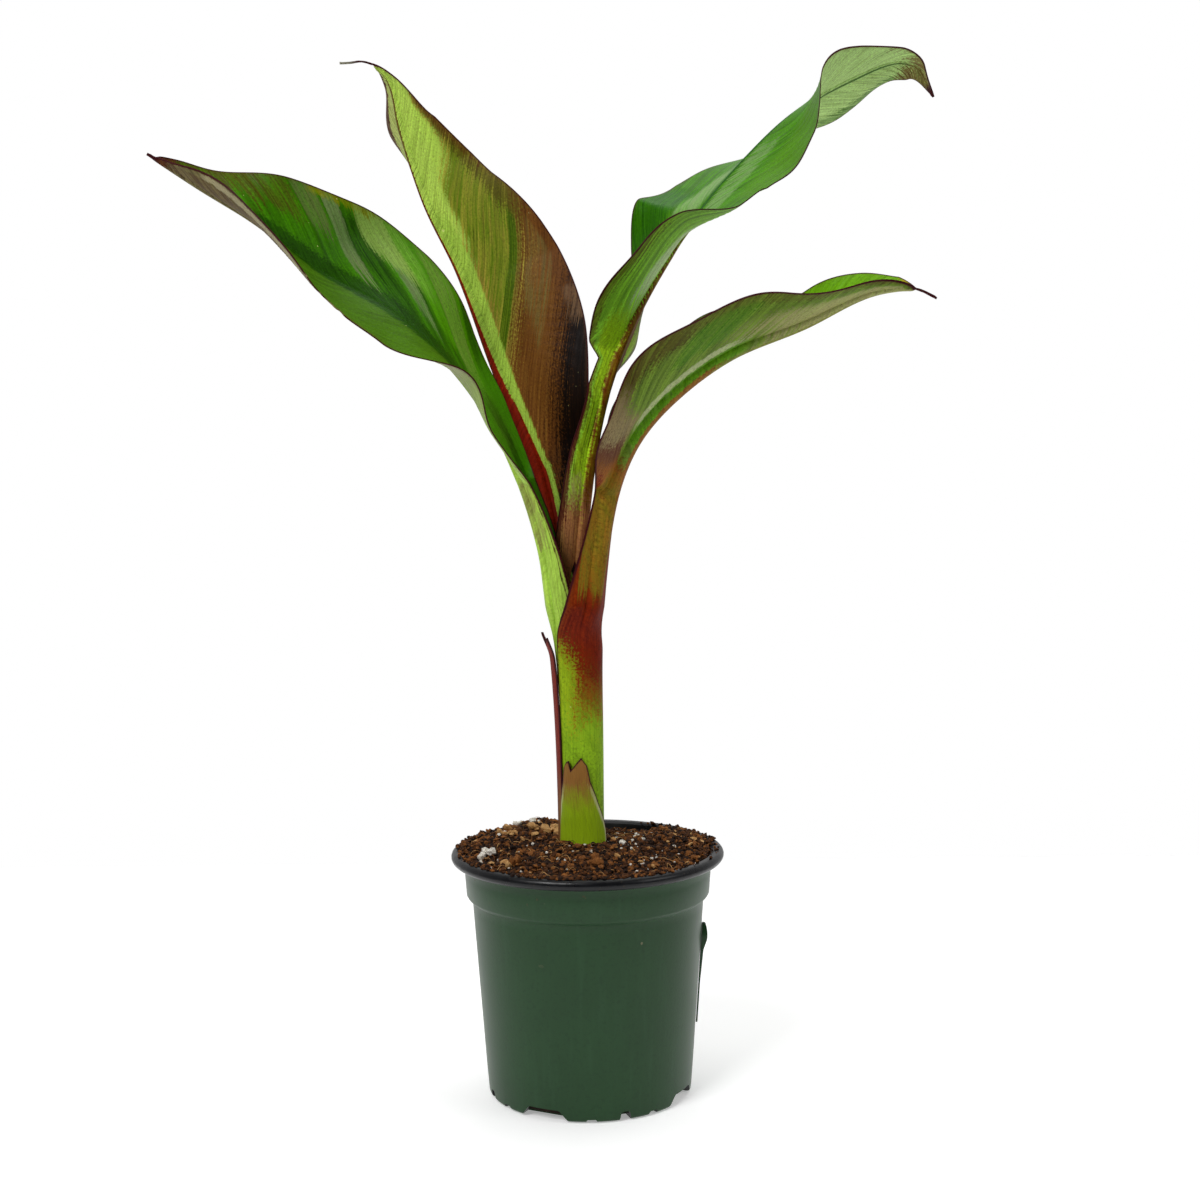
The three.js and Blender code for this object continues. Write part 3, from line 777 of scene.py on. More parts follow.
def pot(green):
    black = lip_skin()
    body = drawn_up("nursery_pot", pot_outline(), POT["sides"])
    face_outwards(body)
    cutters = []
    for start in range(NOTCH["wide_at"], 360 + NOTCH["wide_at"], 90):
        wide = notch_cutter(start, NOTCH["wide_top"], NOTCH["wide_foot"], NOTCH["wide_height"])
        cutters.append(wide)
        for on, height in zip(NOTCH["small_at"], NOTCH["small_height"]):
            foot_arc = NOTCH["small_arc"]
            cutters.append(notch_cutter(start + on, 0.7 * foot_arc, foot_arc, height))
    for cutter in cutters:
        only(body)
        cut = body.modifiers.new("notch", "BOOLEAN")
        cut.operation, cut.solver, cut.object = "DIFFERENCE", "EXACT", cutter
        bpy.ops.object.modifier_apply(modifier=cut.name)
        bpy.data.objects.remove(cutter)
    body.data.materials.clear()
    body.data.materials.append(green)
    body.data.materials.append(black)
    lip_from = (POT["height"] - LIP["black_below_top"]) * MM
    for polygon in body.data.polygons:
        middle, normal = polygon.center, polygon.normal
        outwards = middle.x * normal.x + middle.y * normal.y
        inside = outwards < -1e-4 or (normal.z > 0.8 and middle.z < 0.01)
        polygon.material_index = 1 if inside or middle.z > lip_from else 0
    smooth(body, 32)
    hand_in(body, "pot_plastic", "pot")


# ------------------------------------------------------------------ soil

def soil_height(x, y):
    """Height of the soil at a point, in millimetres: a low uneven mound, spilt onto the lip."""
    r = math.hypot(x, y)
    share = min(r / SOIL["radius"], 1)
    mound = SOIL["edge_z"] + (SOIL["crown_z"] - SOIL["edge_z"]) * (1 - share**2.4)
    rough = 0
    for height, fine, shift, layer in ROUGH:
        rough += height * noise.noise(Vector((x * fine + shift, y * fine, layer)))
    for height, middle, wide in BANKS:
        rough += height * math.exp(-((x - middle[0]) ** 2 + (y - middle[1]) ** 2) / wide**2)
    return max(mound + rough, SOIL["lip_z"] if r > SOIL["radius"] + 1.5 else 0)


def soil_skin(name, dark, light, rough=0.95):
    """A crumbly finish between two colours."""
    paint = Paint(name, IOR=1.3)
    place = paint.place()
    clods = paint.noise(place, 260.0, 4.0, 0.7)
    grit = paint.noise(place, 1500.0, 3.0, 0.7)
    colour = paint.mix((clods * 0.6 + grit * 0.5).step(0.35, 0.75), dark, light)
    return paint.finish(colour, rough - grit * 0.2, clods + grit * 0.6, 0.0006, 1.0)


def soil_body(skin):
    """The filled pot's soil: relief on top, plain where the pot hides it."""
    wall, radius = POT["wall"], SOIL["radius"]
    outline = [(POT["foot"] - wall - 2.4, SOIL["floor_z"]), (POT["foot"] - wall - 0.6, 8),
               (POT["shoulder"] - wall - 0.5, POT["shoulder_z"] - 2), (radius - 0.6, 90)]
    top = [(radius * k / 64, SOIL["edge_z"]) for k in range(64, 0, -1)]
    body = drawn_up("potting_mix", outline + top, 200)
    for vertex in body.data.vertices:
        if vertex.co.z > (SOIL["edge_z"] - 1) * MM:
            vertex.co.z = soil_height(vertex.co.x / MM, vertex.co.y / MM) * MM
    body.data.materials.append(skin)
    face_outwards(body)
    smooth(body, 60)
    hand_in(body, "potting_soil", "soil")


def lump_pattern(detail):
    """Points and faces of a small ball."""
    bpy.ops.mesh.primitive_ico_sphere_add(subdivisions=detail, radius=1)
    ball = bpy.context.active_object
    points = np.array([v.co for v in ball.data.vertices])
    faces = [tuple(p.vertices) for p in ball.data.polygons]
    bpy.data.objects.remove(ball)
    return points, faces


def anywhere(rng):
    """A place on the soil, clear of the stem."""
    while True:
        turn, r = rng.uniform(0, 2 * math.pi), (SOIL["radius"] + 0.6) * math.sqrt(rng.random())
        x, y = r * math.sin(turn), -r * math.cos(turn)
        if math.hypot(x - STEM_ROWS[0][1], y) > STEM_ROWS[0][3] + 0.8:
            return x, y


def on_the_lip(rng):
    """A place where soil has spilt over the lip, most of it at the front."""
    turn = math.radians(rng.choice([rng.gauss(middle, spread) for middle, spread in SPILLS]))
    r = SOIL["radius"] + (SOIL["reach"] - SOIL["radius"]) * rng.random() ** 1.5
    return r * math.sin(turn), -r * math.cos(turn)


def heap(x, y, spread):
    """A place near one point."""
    return lambda rng: (rng.gauss(x, spread), rng.gauss(y, spread))


def scattered(name, kinds, rng):
    """Many small lumps on the soil, joined: turned, stretched and roughened each in its own way.
    A kind is its pattern, count, sizes, flatness, the height of its middle over the soil as a share
    of its size, its skins and where it lies."""
    points, faces, face_skins, skins = [], [], [], []
    for (base, base_faces), count, sizes, flat, raised, own_skins, where in kinds:
        first_skin = len(skins)
        skins += own_skins
        for _ in range(count):
            x, y = where(rng)
            size = sizes[0] + (sizes[1] - sizes[0]) * rng.random() ** 2.2
            stretch = np.array([rng.uniform(0.7, 1.35), rng.uniform(0.7, 1.35), rng.uniform(*flat)])
            turn = np.array(Matrix.Rotation(rng.uniform(0, 6.28), 3, "Z")
                            @ Matrix.Rotation(rng.uniform(-0.8, 0.8), 3, "X"))
            rough = 1 + 0.5 * (np.array([rng.random() for _ in base]) - 0.5)[:, None]
            lump = (base * rough * stretch * size / 2) @ turn.T
            lump += (x, y, soil_height(x, y) + size * raised)
            start = len(points)
            points.extend(lump.tolist())
            faces.extend(tuple(i + start for i in face) for face in base_faces)
            face_skins.extend([first_skin + rng.randrange(len(own_skins))] * len(base_faces))
    piece = new_piece(name, points, faces, skins, face_skins)
    smooth(piece, 35)
    hand_in(piece, "potting_soil")


def fibres(skins, rng, count=260):
    """Root hairs and peat fibres: short bent threads lying on the soil."""
    points, faces, face_skins = [], [], []
    bends, sides = 6, 4
    for _ in range(count):
        x, y = anywhere(rng)
        heading, length, thick = rng.uniform(0, 6.28), rng.uniform(3, 9), rng.uniform(0.1, 0.22)
        lift = rng.uniform(0.4, 1.6)
        start = len(points)
        for b in range(bends):
            u = b / (bends - 1)
            heading += rng.uniform(-0.4, 0.4)
            x += math.sin(heading) * length / bends
            y += math.cos(heading) * length / bends
            pull = min(SOIL["radius"] / max(math.hypot(x, y), 1), 1)
            x, y = x * pull, y * pull
            z = soil_height(x, y) + 0.4 + lift * math.sin(math.pi * u)
            taper = thick * (1 - 0.6 * u)
            for k in range(sides):
                turn = 2 * math.pi * k / sides
                aside = taper * math.cos(turn)
                points.append((x + aside * math.cos(heading), y - aside * math.sin(heading),
                               z + taper * math.sin(turn)))
        for b in range(bends - 1):
            for k in range(sides):
                i, j = start + b * sides + k, start + b * sides + (k + 1) % sides
                faces.append((i, j, j + sides, i + sides))
        faces.append(tuple(start + k for k in range(sides))[::-1])
        faces.append(tuple(start + (bends - 1) * sides + k for k in range(sides)))
        face_skins.extend([rng.randrange(len(skins))] * ((bends - 1) * sides + 2))
    piece = new_piece("fibres", points, faces, skins, face_skins)
    face_outwards(piece)
    hand_in(piece, "potting_soil")


def soil():
    rng = random.Random(7)
    dark = soil_skin("peat_dark", ink(16, 8, 5), ink(50, 28, 16))
    brown = soil_skin("peat_brown", ink(38, 20, 9), ink(98, 58, 26))
    rust = soil_skin("peat_rust", ink(76, 42, 14), ink(156, 98, 46))
    bark = soil_skin("bark_tan", ink(150, 104, 56), ink(214, 170, 112), 0.9)
    white = soil_skin("perlite_white", ink(196, 186, 170), ink(244, 240, 232), 0.9)
    soil_body(dark)
    grain, lump = lump_pattern(1), lump_pattern(2)
    earth = [dark, brown, rust, brown, dark, brown, rust]
    scattered("crumbs", [
        (grain, 7600, (0.5, 2.5), (0.5, 1.0), 0.2, earth, anywhere),
        (grain, 1900, (0.5, 2.2), (0.5, 0.9), 0.25, earth, on_the_lip)], rng)
    scattered("perlite", [
        (lump, 150, (0.5, 1.7), (0.6, 1.0), 0.4, [white], anywhere),
        (lump, 5, (2.4, 4.2), (0.6, 0.9), 0.5, [white], heap(-43, -12, 2.4)),
        (lump, 4, (1.6, 3.0), (0.6, 0.9), 0.5, [white], heap(17, -4, 3.0)),
        (lump, 6, (1.6, 3.6), (0.6, 0.9), 0.5, [white], heap(-31, 24, 4.0))], rng)
    scattered("bark_bits", [
        (grain, 260, (0.6, 3.2), (0.3, 0.6), 0.4, [bark, rust], anywhere),
        (lump, 9, (2.4, 5.0), (0.5, 0.9), 0.4, [bark], heap(-15, 9, 2.6)),
        (lump, 7, (2.2, 4.6), (0.5, 0.9), 0.4, [bark], heap(-29, 6, 3.4)),
        (lump, 3, (3.0, 4.6), (0.5, 0.9), 0.4, [bark, rust], heap(-31, -27, 2.0)),
        (lump, 3, (3.0, 5.0), (0.5, 0.9), 0.4, [rust], heap(3, -33, 2.2))], rng)
    fibres([bark, rust, brown], rng)


# ------------------------------------------------------------------ old leaf bases and the tab

def stub_skin(name, low, high, turn, edge_colour):
    """A drying leaf base: one colour below, another above the heights where it turns."""
    paint = Paint(name, IOR=1.35, Specular_IOR_Level=0.3)
    across, edge = paint.attribute("across"), paint.attribute("edge")
    height = paint.attribute("distance")
    lines = paint.stretched(across * 2.2, height * 0.08, 1.0, 3.0)
    patch = paint.stretched(across * 0.4, height * 0.16, 4.0, 3.0)
    grain = paint.stretched(across * 2.0, height * 2.0, 7.0)
    at = height + (patch - 0.5) * 12.0 + (lines - 0.5) * 8.0 + (grain - 0.5) * 8.0
    turned = at.step(*turn)
    colour = paint.mix(turned, low, high)
    colour = paint.mix((lines - 0.5).abs() * 1.3, colour, ink(50, 34, 16))
    pale = 1.0 - (edge + (lines - 0.5) * 2.0).step(1.0, 2.2)
    colour = paint.mix(pale * 0.8 * (1.0 - turned), colour, edge_colour)
    colour = paint.mix(1.0 - (edge + (grain - 0.5) * 0.6).step(0.25, 0.6), colour, ink(*MAROON))
    return paint.finish(colour, 0.55 + (lines - 0.5) * 0.3, lines + grain * 0.3, 0.0004, 0.9)


def stem_scale(name, sides, tops, thickness, skin, curl):
    """A torn leaf base on the stem's skin. sides has rows of a height and where its left and right
    edges are there, in degrees from the front, and tops has the height of its torn end across it.
    curl is where its end begins and ceases to bend off the stem, and how far."""
    heights = np.array([row[0] for row in sides], float)
    u = np.linspace(0, 1, SCALE_COLUMNS)[None, :]
    reach = np.interp(u, *zip(*tops)) - heights[0]
    z = heights[0] + np.linspace(0, 1, SCALE_ROWS)[:, None] * reach
    left = np.radians(np.interp(z, heights, [row[1] for row in sides]))
    right = np.radians(np.interp(z, heights, [row[2] for row in sides]))
    angle = left + (right - left) * u
    off = SCALE_LIFT + curl[2] * smoothstep(curl[0], curl[1], z)
    thin = thickness * (0.3 + 0.7 * np.sin(np.pi * np.clip(u, 0.02, 0.98)) ** 0.5)

    def face(extra):
        flat = stem_oval(z.ravel(), angle.reshape(-1, 1), extra.reshape(-1, 1))
        return flat.reshape(*z.shape, 3)[:, ::-1]

    span = np.abs(right - left) * STEM_ROWS[0][3]
    edge = np.minimum(np.minimum(u, 1 - u) * span, (heights[0] + reach - z) * 0.5 + 0.05)
    told = {"edge": edge, "across": (u - 0.5) * span, "distance": z}
    told = {key: values[:, ::-1] for key, values in told.items()}
    return sheet_piece(name, face(off), face(off + thin), told, [skin, skin])


def stubs():
    front = stub_skin("cut_base", ink(154, 186, 14), ink(150, 104, 46), (118, 134), ink(216, 214, 168))
    strip = stub_skin("torn_base", ink(128, 84, 44), ink(128, 44, 34), (112, 140), ink(150, 120, 70))
    foot = SOIL["crown_z"] - 3
    cut = stem_scale(
        "cut_leaf_base",
        [(foot, -86, 84), (foot + 9, -80, 74), (foot + 20, -66, 44), (foot + 30, -50, 20),
         (foot + 41, -38, 8)],
        [(0, foot + 36), (0.12, foot + 38.5), (0.22, foot + 39), (0.34, foot + 35), (0.6, foot + 38.5),
         (0.8, foot + 40.5), (1, foot + 37)],
        1.3, front, (foot + 18, foot + 42, 0.9))
    hand_in(cut, "old_sheath", "sheath_stub_front")
    torn = stem_scale(
        "torn_leaf_base",
        [(foot, -116, -60), (foot + 45, -112, -58), (foot + 74, -104, -58), (foot + 92, -100, -64)],
        [(0, foot + 88), (0.3, foot + 92), (0.6, foot + 87), (1, foot + 90)],
        1.1, strip, (foot + 81, foot + 93, 2.4))
    hand_in(torn, "old_sheath", "sheath_stub_left")


def tab(green):
    """A small teardrop flap on the pot wall, with a thin tail down it."""
    bpy.ops.mesh.primitive_circle_add(vertices=36, radius=1, fill_type="NGON")
    flap = bpy.context.active_object
    flap.name = flap.data.name = "teardrop_flap"
    half, neck = TAB["width"] / 2, -0.2  # the tail begins a little below the middle
    for vertex in flap.data.vertices:
        x, y = vertex.co.x, vertex.co.y
        if y >= neck:
            vertex.co = Vector((x * half, y * TAB["length"] / 2, 0))
            continue
        pull = (neck - y) / (1 + neck)
        wide = TAB["tail_half"] + (half - TAB["tail_half"]) * (1 - min(pull * 1.6, 1)) ** 2
        foot = neck * TAB["length"] / 2
        aside = math.copysign(min(abs(x) * half, wide), x)
        vertex.co = Vector((aside, foot - pull * (TAB["tail"] + foot), 0))
    only(flap)
    bpy.ops.object.mode_set(mode="EDIT")
    bpy.ops.mesh.select_all(action="SELECT")
    bpy.ops.mesh.extrude_region_move(TRANSFORM_OT_translate={"value": (0, 0, TAB["thick"])})
    bpy.ops.mesh.bevel(offset=TAB["tail_half"] * 0.7, segments=4)
    bpy.ops.object.mode_set(mode="OBJECT")
    for vertex in flap.data.vertices:
        if vertex.co.z > TAB["thick"] / 2:
            along = min(abs(vertex.co.y) / (TAB["length"] / 2), 1)
            vertex.co.z = TAB["thick"] * (0.5 + 1.3 * math.sqrt(1 - along**2))
    slope = (POT["shoulder"] - POT["foot"]) / POT["shoulder_z"]
    wall = POT["foot"] + slope * TAB["z"] + TAB["off"]
    to_the_right = Matrix.Scale(MM, 4) @ Matrix.Rotation(math.radians(90), 4, "Z")
    upright = Matrix.Rotation(math.radians(90) + math.atan(slope), 4, "X")
    flap.data.transform(to_the_right @ Matrix.Translation((0, -wall, TAB["z"])) @ upright)
    flap.data.materials.append(green)
    face_outwards(flap)
    smooth(flap)
    hand_in(flap, "pot_plastic", "pot_tab")


# ------------------------------------------------------------------ plant

ENDLESS = 900  # millimetres, beyond any leaf
FAR, NEAR = (0, 0.6, ENDLESS, ENDLESS + 1), (-ENDLESS - 1, -ENDLESS, -0.6, 0)  # one side of the rib


def until(fades, gone):
    """From the leaf's very start, or its rib, to here."""
    return (-ENDLESS - 1, -ENDLESS, fades, gone)


def since(begins, full):
    """From here to the leaf's very tip, or its margin."""
    return (begins, full, ENDLESS, ENDLESS + 1)


def left_skins():
    upper = leaf_skin("left_upper", 1.0, (60, 120, 2), [
        flush(DEEP_GREEN, 0.9, share=until(0.06, 0.26), along=since(0.1, 0.2)),
        flush((78, 122, 12), 0.9, side=NEAR, share=since(0.06, 0.14), along=(0.18, 0.26, 0.7, 0.85)),
        flush((92, 92, 16), 0.7, side=NEAR, share=since(0.84, 0.97), along=since(0.3, 0.5)),
        flush(DEEP_GREEN, 0.55, side=FAR, vein=(116, 122, 134, 139), share=(0.0, 0.1, 0.7, 0.9)),
        # Painted sheen: the next two flushes, pale grey-green and mauve-grey streaks along the far half's
        # veins, stand in for gloss catching the light.
        flush((140, 160, 104), 0.6, side=FAR, vein=(134, 138, 145, 148), share=(0.1, 0.4, 0.85, 1.1)),
        flush((116, 128, 72), 0.6, side=FAR, vein=(146, 152, 160, 166), share=(0.3, 0.7, 0.9, 1.1)),
        flush((88, 92, 22), 0.6, side=FAR, vein=(160, 172, 196, 210), share=(0.3, 0.6, 0.9, 1.1)),
        # Painted sheen: pale streaks along the veins of the far half.
        flush(SHEEN_GREY_GREEN, 0.5, side=FAR, vein=(98, 102, 108, 114), share=(0.2, 0.45, 0.7, 0.85)),
        flush((166, 202, 96), 0.85, side=FAR, vein=(78, 90, 116, 128), share=(0.5, 0.72, 0.94, 1.1)),
        flush((96, 170, 8), 0.75, side=FAR, vein=(50, 60, 90, 100), share=since(0.36, 0.55)),
        flush((140, 176, 72), 0.55, side=FAR, vein=(58, 62, 76, 82), share=(0.2, 0.4, 0.8, 1.1)),
        flush((158, 160, 14), 0.6, side=FAR, share=since(0.86, 0.96), along=(0.5, 0.56, 0.66, 0.72)),
        flush((86, 86, 12), 0.7, along=since(0.7, 0.92), side=FAR),
        flush((88, 172, 18), 0.6, distance=(-30, 20, 84, 112)),
        flush(DEEP_GREEN, 0.6, side=FAR, distance=(-20, 20, 76, 104), share=(0.1, 0.3, 0.5, 0.7)),
        flush((96, 48, 22), 0.9, along=since(0.93, 0.965)),
        flush((160, 198, 72), 0.7, distance=until(-20, 20)),
    ], gloss=0.36, hairs=0.65, flecks=0.9)
    under = leaf_skin("left_under", 2.0, (128, 118, 78), [
        flush((104, 80, 56), 0.6, share=(0.05, 0.3, 0.6, 0.85), along=since(0.3, 0.7)),
        flush(CREAM, 0.7, share=(0.7, 0.78, 0.9, 0.98), along=(0.55, 0.66, 0.84, 0.92)),
        flush((96, 48, 22), 0.9, along=since(0.93, 0.965)),
        flush((168, 176, 130), 0.8, along=until(0.16, 0.5), share=until(0.8, 1.1)),
        flush((164, 192, 96), 0.85, along=until(0.04, 0.32)),
        flush((176, 214, 84), 1.0, distance=until(44, 96)),
        flush((150, 140, 84), 0.55, distance=(22, 32, 46, 58), across=(-7, -5, -2, 0)),
        flush((164, 208, 62), 0.8, distance=until(-30, 10)),
        flush(MAROON, 0.8, share=(0.85, 0.87, 0.89, 0.91), side=NEAR, distance=(-14, 0, 58, 68)),
    ], hairs=0.3, speckle=0.25)
    return [upper, under]


def tall_skins():
    upper = leaf_skin("tall_upper", 3.0, GREEN, [
        flush(DEEP_GREEN, 0.8, share=until(0.1, 0.3)),
        # Painted sheen: pale grey-green streaks along the veins where the glossy face would catch the
        # light.
        flush(SHEEN_GREY_GREEN, 0.4, vein=(60, 70, 100, 110), share=(0.3, 0.5, 0.8, 0.95)),
        flush((110, 120, 50), 0.6, along=since(0.7, 0.9)),
        flush(BRICK, 0.9, distance=until(20, 44)),
    ], gloss=0.36)
    under = leaf_skin("tall_under", 4.0, (150, 134, 52), [
        flush((112, 144, 22), 0.6, vein=(84, 112, 160, 184), share=(0.1, 0.3, 0.85, 1.0)),
        flush((98, 88, 22), 0.8, share=since(0.66, 0.94), along=(0.25, 0.45, 0.78, 0.88)),
        flush((118, 68, 26), 0.95, vein=until(66, 116), share=since(0.04, 0.16)),
        # Painted sheen: a grey-olive patch where the glossy underside would catch the light.
        flush((144, 124, 66), 0.4, vein=(60, 66, 84, 92), share=(0.45, 0.6, 0.86, 0.95)),
        flush((80, 42, 14), 0.8, vein=until(30, 66)),
        # The lower underside's dark red-brown deepened to near black: partly the leaf's own colour, partly
        # painted shade.
        flush((12, 2, 1), 0.97, vein=until(16, 60), share=since(0.16, 0.68)),
        # Painted sheen: a pinkish-grey patch near the margin.
        flush((150, 112, 84), 0.5, along=(0.28, 0.31, 0.37, 0.42), share=since(0.84, 0.92)),
        flush((78, 108, 8), 0.9, vein=(97.5, 98.5, 105, 106.5), share=(0.05, 0.12, 0.68, 0.9)),
        flush((104, 66, 22), 0.7, along=since(0.6, 0.78), share=since(0.8, 0.98)),
        flush((196, 232, 94), 1.0, vein=since(150, 196), share=until(0.55, 0.95)),
        flush((190, 224, 94), 0.95, across=(-12, -6.5, 0, 1), along=since(0.42, 0.62)),
        flush((172, 210, 80), 0.95, across=(-8.0, -5.2, 0, 1), along=until(0.5, 0.7)),
        flush((190, 200, 118), 0.9, side=FAR, along=since(0.44, 0.78)),
        flush((86, 34, 30), 0.9, side=FAR, along=since(0.6, 0.7), share=since(0.5, 0.62)),
        flush((150, 34, 12), 1.0, belt=(-4.8, -3.8, 4.5, 6.0), along=until(0.66, 0.8)),
        flush((96, 50, 18), 0.9, across=(-0.7, -0.4, 0.4, 0.7), along=until(0.86, 0.94)),
        flush((168, 42, 14), 1.0, distance=until(-8, 16)),
    ], hairs=0.8, flecks=0.5, tip=(150, 146, 128))
    return [upper, under]


def twisted_skins():
    upper = leaf_skin("twisted_upper", 5.0, (70, 132, 2), [
        flush((40, 104, 0), 0.8, side=FAR, along=until(0.36, 0.44), share=since(0.4, 0.6)),
        flush((88, 142, 6), 0.6, side=NEAR, share=since(0.3, 0.6), along=(0.34, 0.42, 0.7, 0.9)),
        # Painted sheen: the next two flushes are pale grey-green patches beside the rib valley on both
        # halves, where the glossy face would catch the light.
        flush((150, 186, 118), 0.55,
              side=FAR, share=(0.04, 0.14, 0.34, 0.5), along=(0.26, 0.34, 0.42, 0.5)),
        flush((146, 182, 116), 0.45, side=NEAR, share=(0.04, 0.1, 0.22, 0.36), along=(0.3, 0.36, 0.5, 0.6)),
        flush((30, 92, 8), 0.9, across=(-1.4, -0.8, 0.4, 0.9), along=(0.2, 0.28, 0.7, 0.8)),
        flush((90, 120, 20), 0.7, distance=until(90, 110)),
        flush((100, 58, 30), 0.9, side=FAR, distance=until(120, 138)),
    ], gloss=0.34, hairs=0.35, speckle=0.35)
    under = leaf_skin("twisted_under", 6.0, (148, 206, 60), [
        flush((112, 96, 34), 0.6, side=NEAR, share=since(0.76, 0.97), along=until(0.16, 0.3)),
        # Painted sheen: a whitish streak beside the rib on the near half.
        flush((214, 232, 186), 0.75,
              side=NEAR, share=(0.0, 0.2, 0.3, 0.56), along=(0.04, 0.18, 0.26, 0.44)),
        flush((190, 226, 140), 1.0, along=since(0.36, 0.68)),
        flush((84, 132, 48), 0.65, along=since(0.6, 0.7), share=since(0.5, 0.9), side=FAR),
        flush((56, 104, 30), 0.9, across=(-0.9, -0.5, 0.5, 0.9), along=since(0.5, 0.6)),
        flush((134, 104, 56), 0.85, along=since(0.84, 0.98)),
        flush((84, 50, 24), 0.85, side=FAR, along=until(0.04, 0.26)),
        flush((166, 204, 36), 1.0, distance=until(100, 134), share=until(0.5, 0.9)),
        flush((122, 146, 22), 0.6, distance=until(60, 110), across=(-9, -7, -5, -3)),
        flush((124, 48, 16), 0.9, across=(-3.4, -0.6, 4.4, 7.6), distance=(10, 30, 130, 214)),
        flush((190, 176, 110), 0.5, distance=(22, 34, 46, 62), across=(-12, -8, -4, -1)),
        flush((188, 122, 80), 0.95, distance=until(26, 56)),
        flush((96, 34, 30), 0.85, distance=until(60, 110), share=since(0.64, 0.97)),
    ], hairs=0.7)
    return [upper, under]


def right_skins():
    upper = leaf_skin("right_upper", 7.0, (86, 142, 14), [
        flush(DEEP_GREEN, 0.5, share=until(0.1, 0.3)),
        flush((120, 180, 20), 0.8, along=since(0.6, 0.75)),
        flush((214, 184, 40), 0.9, along=since(0.9, 0.94)),
        flush((120, 60, 20), 0.9, distance=until(40, 60)),
    ], gloss=0.36)
    under = leaf_skin("right_under", 8.0, (106, 134, 42), [
        flush((84, 66, 20), 0.8, share=since(0.6, 0.92), along=until(0.36, 0.5)),
        flush((98, 100, 32), 0.6, share=since(0.72, 0.9), along=since(0.3, 0.5)),
        flush((82, 134, 20), 0.6, vein=(70, 80, 100, 112), share=(0.4, 0.5, 0.8, 0.95)),
        # Painted sheen: the next two flushes, a broad pale grey-cream wash over the blade and a whitish
        # streak beside the rib on the near half.
        flush((188, 182, 124), 0.65, along=since(0.38, 0.74), share=until(0.35, 0.8)),
        flush((196, 204, 158), 0.75, across=(-9.5, -7.5, -4.6, -3.0), along=(0.08, 0.2, 0.42, 0.56)),
        flush((142, 124, 86), 0.95, along=until(0.1, 0.26), share=since(0.24, 0.36)),
        flush((98, 48, 24), 0.9, along=until(0.03, 0.15), share=since(0.2, 0.36)),
        flush((94, 152, 16), 0.9, across=(-5.8, -4.4, -2.2, -1.4), along=(0.06, 0.12, 0.4, 0.6)),
        flush((144, 92, 26), 0.95, across=(-3.0, -2.0, 2.4, 3.6), along=until(0.3, 0.5)),
        flush((134, 136, 50), 0.8, across=(-1.5, -0.9, 1.2, 2.0), along=(0.3, 0.5, 0.8, 0.9)),
        flush((146, 88, 30), 1.0, distance=until(48, 70)),
        flush((130, 44, 16), 0.95, distance=until(44, 66), share=since(0.44, 0.9)),
        flush((124, 44, 8), 1.0, distance=until(4, 40)),
        flush((136, 120, 30), 0.7, across=(-11, -8, -2, 0), distance=(-6, 16, 46, 62)),
        flush((112, 26, 6), 0.8, distance=until(-8, 14), across=(-14, -8, 0, 5)),
        flush((136, 100, 20), 0.85, distance=until(-58, -10)),
        flush((156, 186, 30), 0.95, distance=until(-34, -4), across=(-30, -29, -14, -2)),
        flush((142, 184, 34), 1.0, distance=until(-78, -22)),
        # Partly the base's own lime, partly a painted highlight: a pale streak down the far side of the
        # stem.
        flush((150, 200, 70), 0.8, distance=until(-62, -44), across=since(2, 6)),
    ], hairs=0.3, speckle=0.55, flecks=0.4)
    return [upper, under]


def plant():
    skins = {"left": left_skins(), "tall": tall_skins(), "twisted": twisted_skins(), "right": right_skins()}
    sunk = {"left": 0, "tall": 10, "twisted": 12, "right": 0}
    for name, own in skins.items():
        stalk_piece(name, own, sunk[name])
    pseudostem(skins["left"], skins["right"])
    for name, own in skins.items():
        blade_piece(name, own)


# ------------------------------------------------------------------ studio

CAMERA = {"x": 6.4, "back": 764.0, "up": 282.4, "down_degrees": 5.6, "roll_degrees": -0.64,
          "lens": 55.5, "sensor": 36.0}
SKY = (0.1, 0.75)  # the backdrop's light from the front and from the back
SKY_TURN = (-0.5, 0.6)  # how far back it begins and ends to change, from -1 to 1
FLOOR = {"wide": 0.8, "below": 0.0004, "glow": 0.33}  # metres
LIGHTS = {  # place and aim in metres, size and watts
    "key": ((-0.55, -0.8, 1.0), (0, 0, 0.25), 0.5, 9),
    "fill": ((1.0, -0.5, 0.7), (0, 0, 0.3), 0.6, 3),
    "top": ((0.1, 0.25, 1.4), (0, 0, 0.2), 1.0, 7),
}


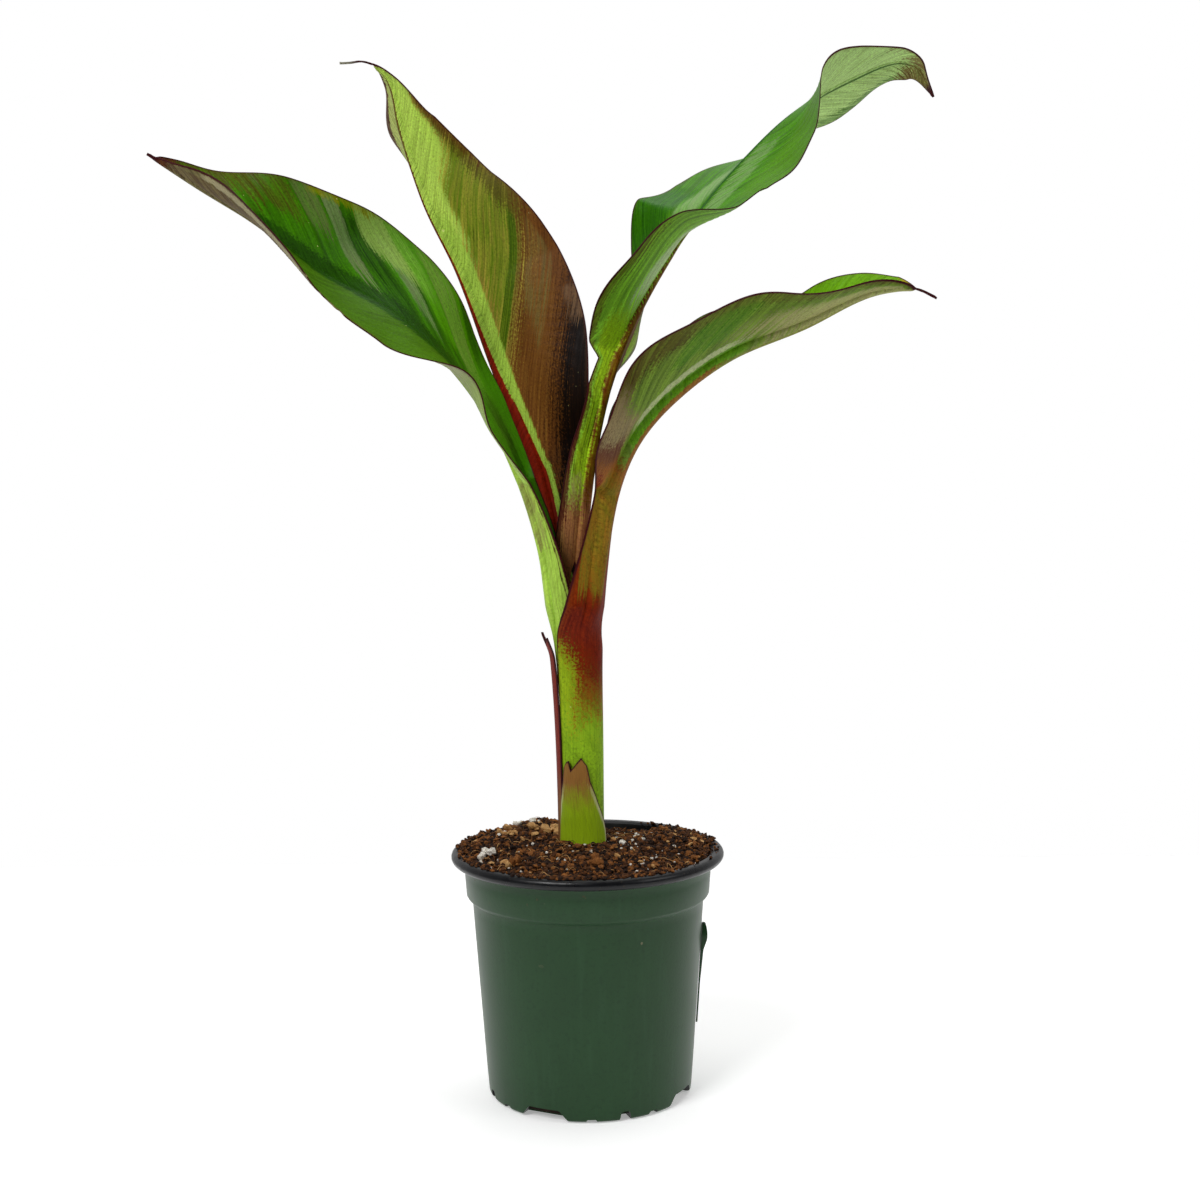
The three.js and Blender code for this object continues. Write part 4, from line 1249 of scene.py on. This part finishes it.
def camera():
    data = bpy.data.cameras.new("camera")
    data.lens, data.sensor_width = CAMERA["lens"], CAMERA["sensor"]
    data.clip_start, data.clip_end = 0.01, 20
    eye = bpy.data.objects.new("camera", data)
    bpy.context.scene.collection.objects.link(eye)
    place = Vector((CAMERA["x"], -CAMERA["back"], CAMERA["up"])) * MM
    eye.matrix_world = (Matrix.Translation(place)
                        @ Matrix.Rotation(math.radians(90 - CAMERA["down_degrees"]), 4, "X")
                        @ Matrix.Rotation(math.radians(CAMERA["roll_degrees"]), 4, "Z"))
    bpy.context.scene.camera = eye


def soft_light(name, place, aim, size, watts):
    data = bpy.data.lights.new(name, "AREA")
    data.shape, data.size, data.energy = "SQUARE", size, watts
    lamp = bpy.data.objects.new(name, data)
    bpy.context.scene.collection.objects.link(lamp)
    towards = Vector(aim) - Vector(place)
    lamp.matrix_world = Matrix.Translation(place) @ towards.to_track_quat("-Z", "Y").to_matrix().to_4x4()


def sky():
    """A white backdrop whose light is weaker from the front than from the sides and the back."""
    world = bpy.data.worlds.new("studio")
    world.use_nodes = True
    nodes, join = world.node_tree.nodes, world.node_tree.links.new
    backdrop = nodes["Background"]
    backdrop.inputs["Color"].default_value = (1, 1, 1, 1)
    light, place, split, turn, seen, choose = [nodes.new("ShaderNode" + kind) for kind in (
        "Background", "TexCoord", "SeparateXYZ", "MapRange", "LightPath", "MixShader")]
    for name, value in zip(("From Min", "From Max", "To Min", "To Max"), SKY_TURN + SKY):
        turn.inputs[name].default_value = value
    join(place.outputs["Generated"], split.inputs[0])
    join(split.outputs["Y"], turn.inputs["Value"])
    join(turn.outputs["Result"], light.inputs["Strength"])
    join(seen.outputs["Is Camera Ray"], choose.inputs[0])
    join(light.outputs[0], choose.inputs[1])
    join(backdrop.outputs[0], choose.inputs[2])
    join(choose.outputs[0], nodes["World Output"].inputs["Surface"])
    bpy.context.scene.world = world


def studio():
    bpy.ops.mesh.primitive_plane_add(size=FLOOR["wide"], location=(0, 0, -FLOOR["below"]))
    floor = bpy.context.active_object
    floor.name = floor.data.name = "floor"
    white = Paint("floor_white", Base_Color=(0.95, 0.95, 0.95, 1), Roughness=0.9,
                  Emission_Color=(1, 1, 1, 1), Emission_Strength=FLOOR["glow"])
    floor.data.materials.append(white.material)
    sky()
    for name, light in LIGHTS.items():
        soft_light(name, *light)
    bpy.context.scene.view_settings.view_transform = "Standard"


camera()
studio()
plastic = pot_skin()
pot(plastic)
tab(plastic)
soil()
stubs()
plant()
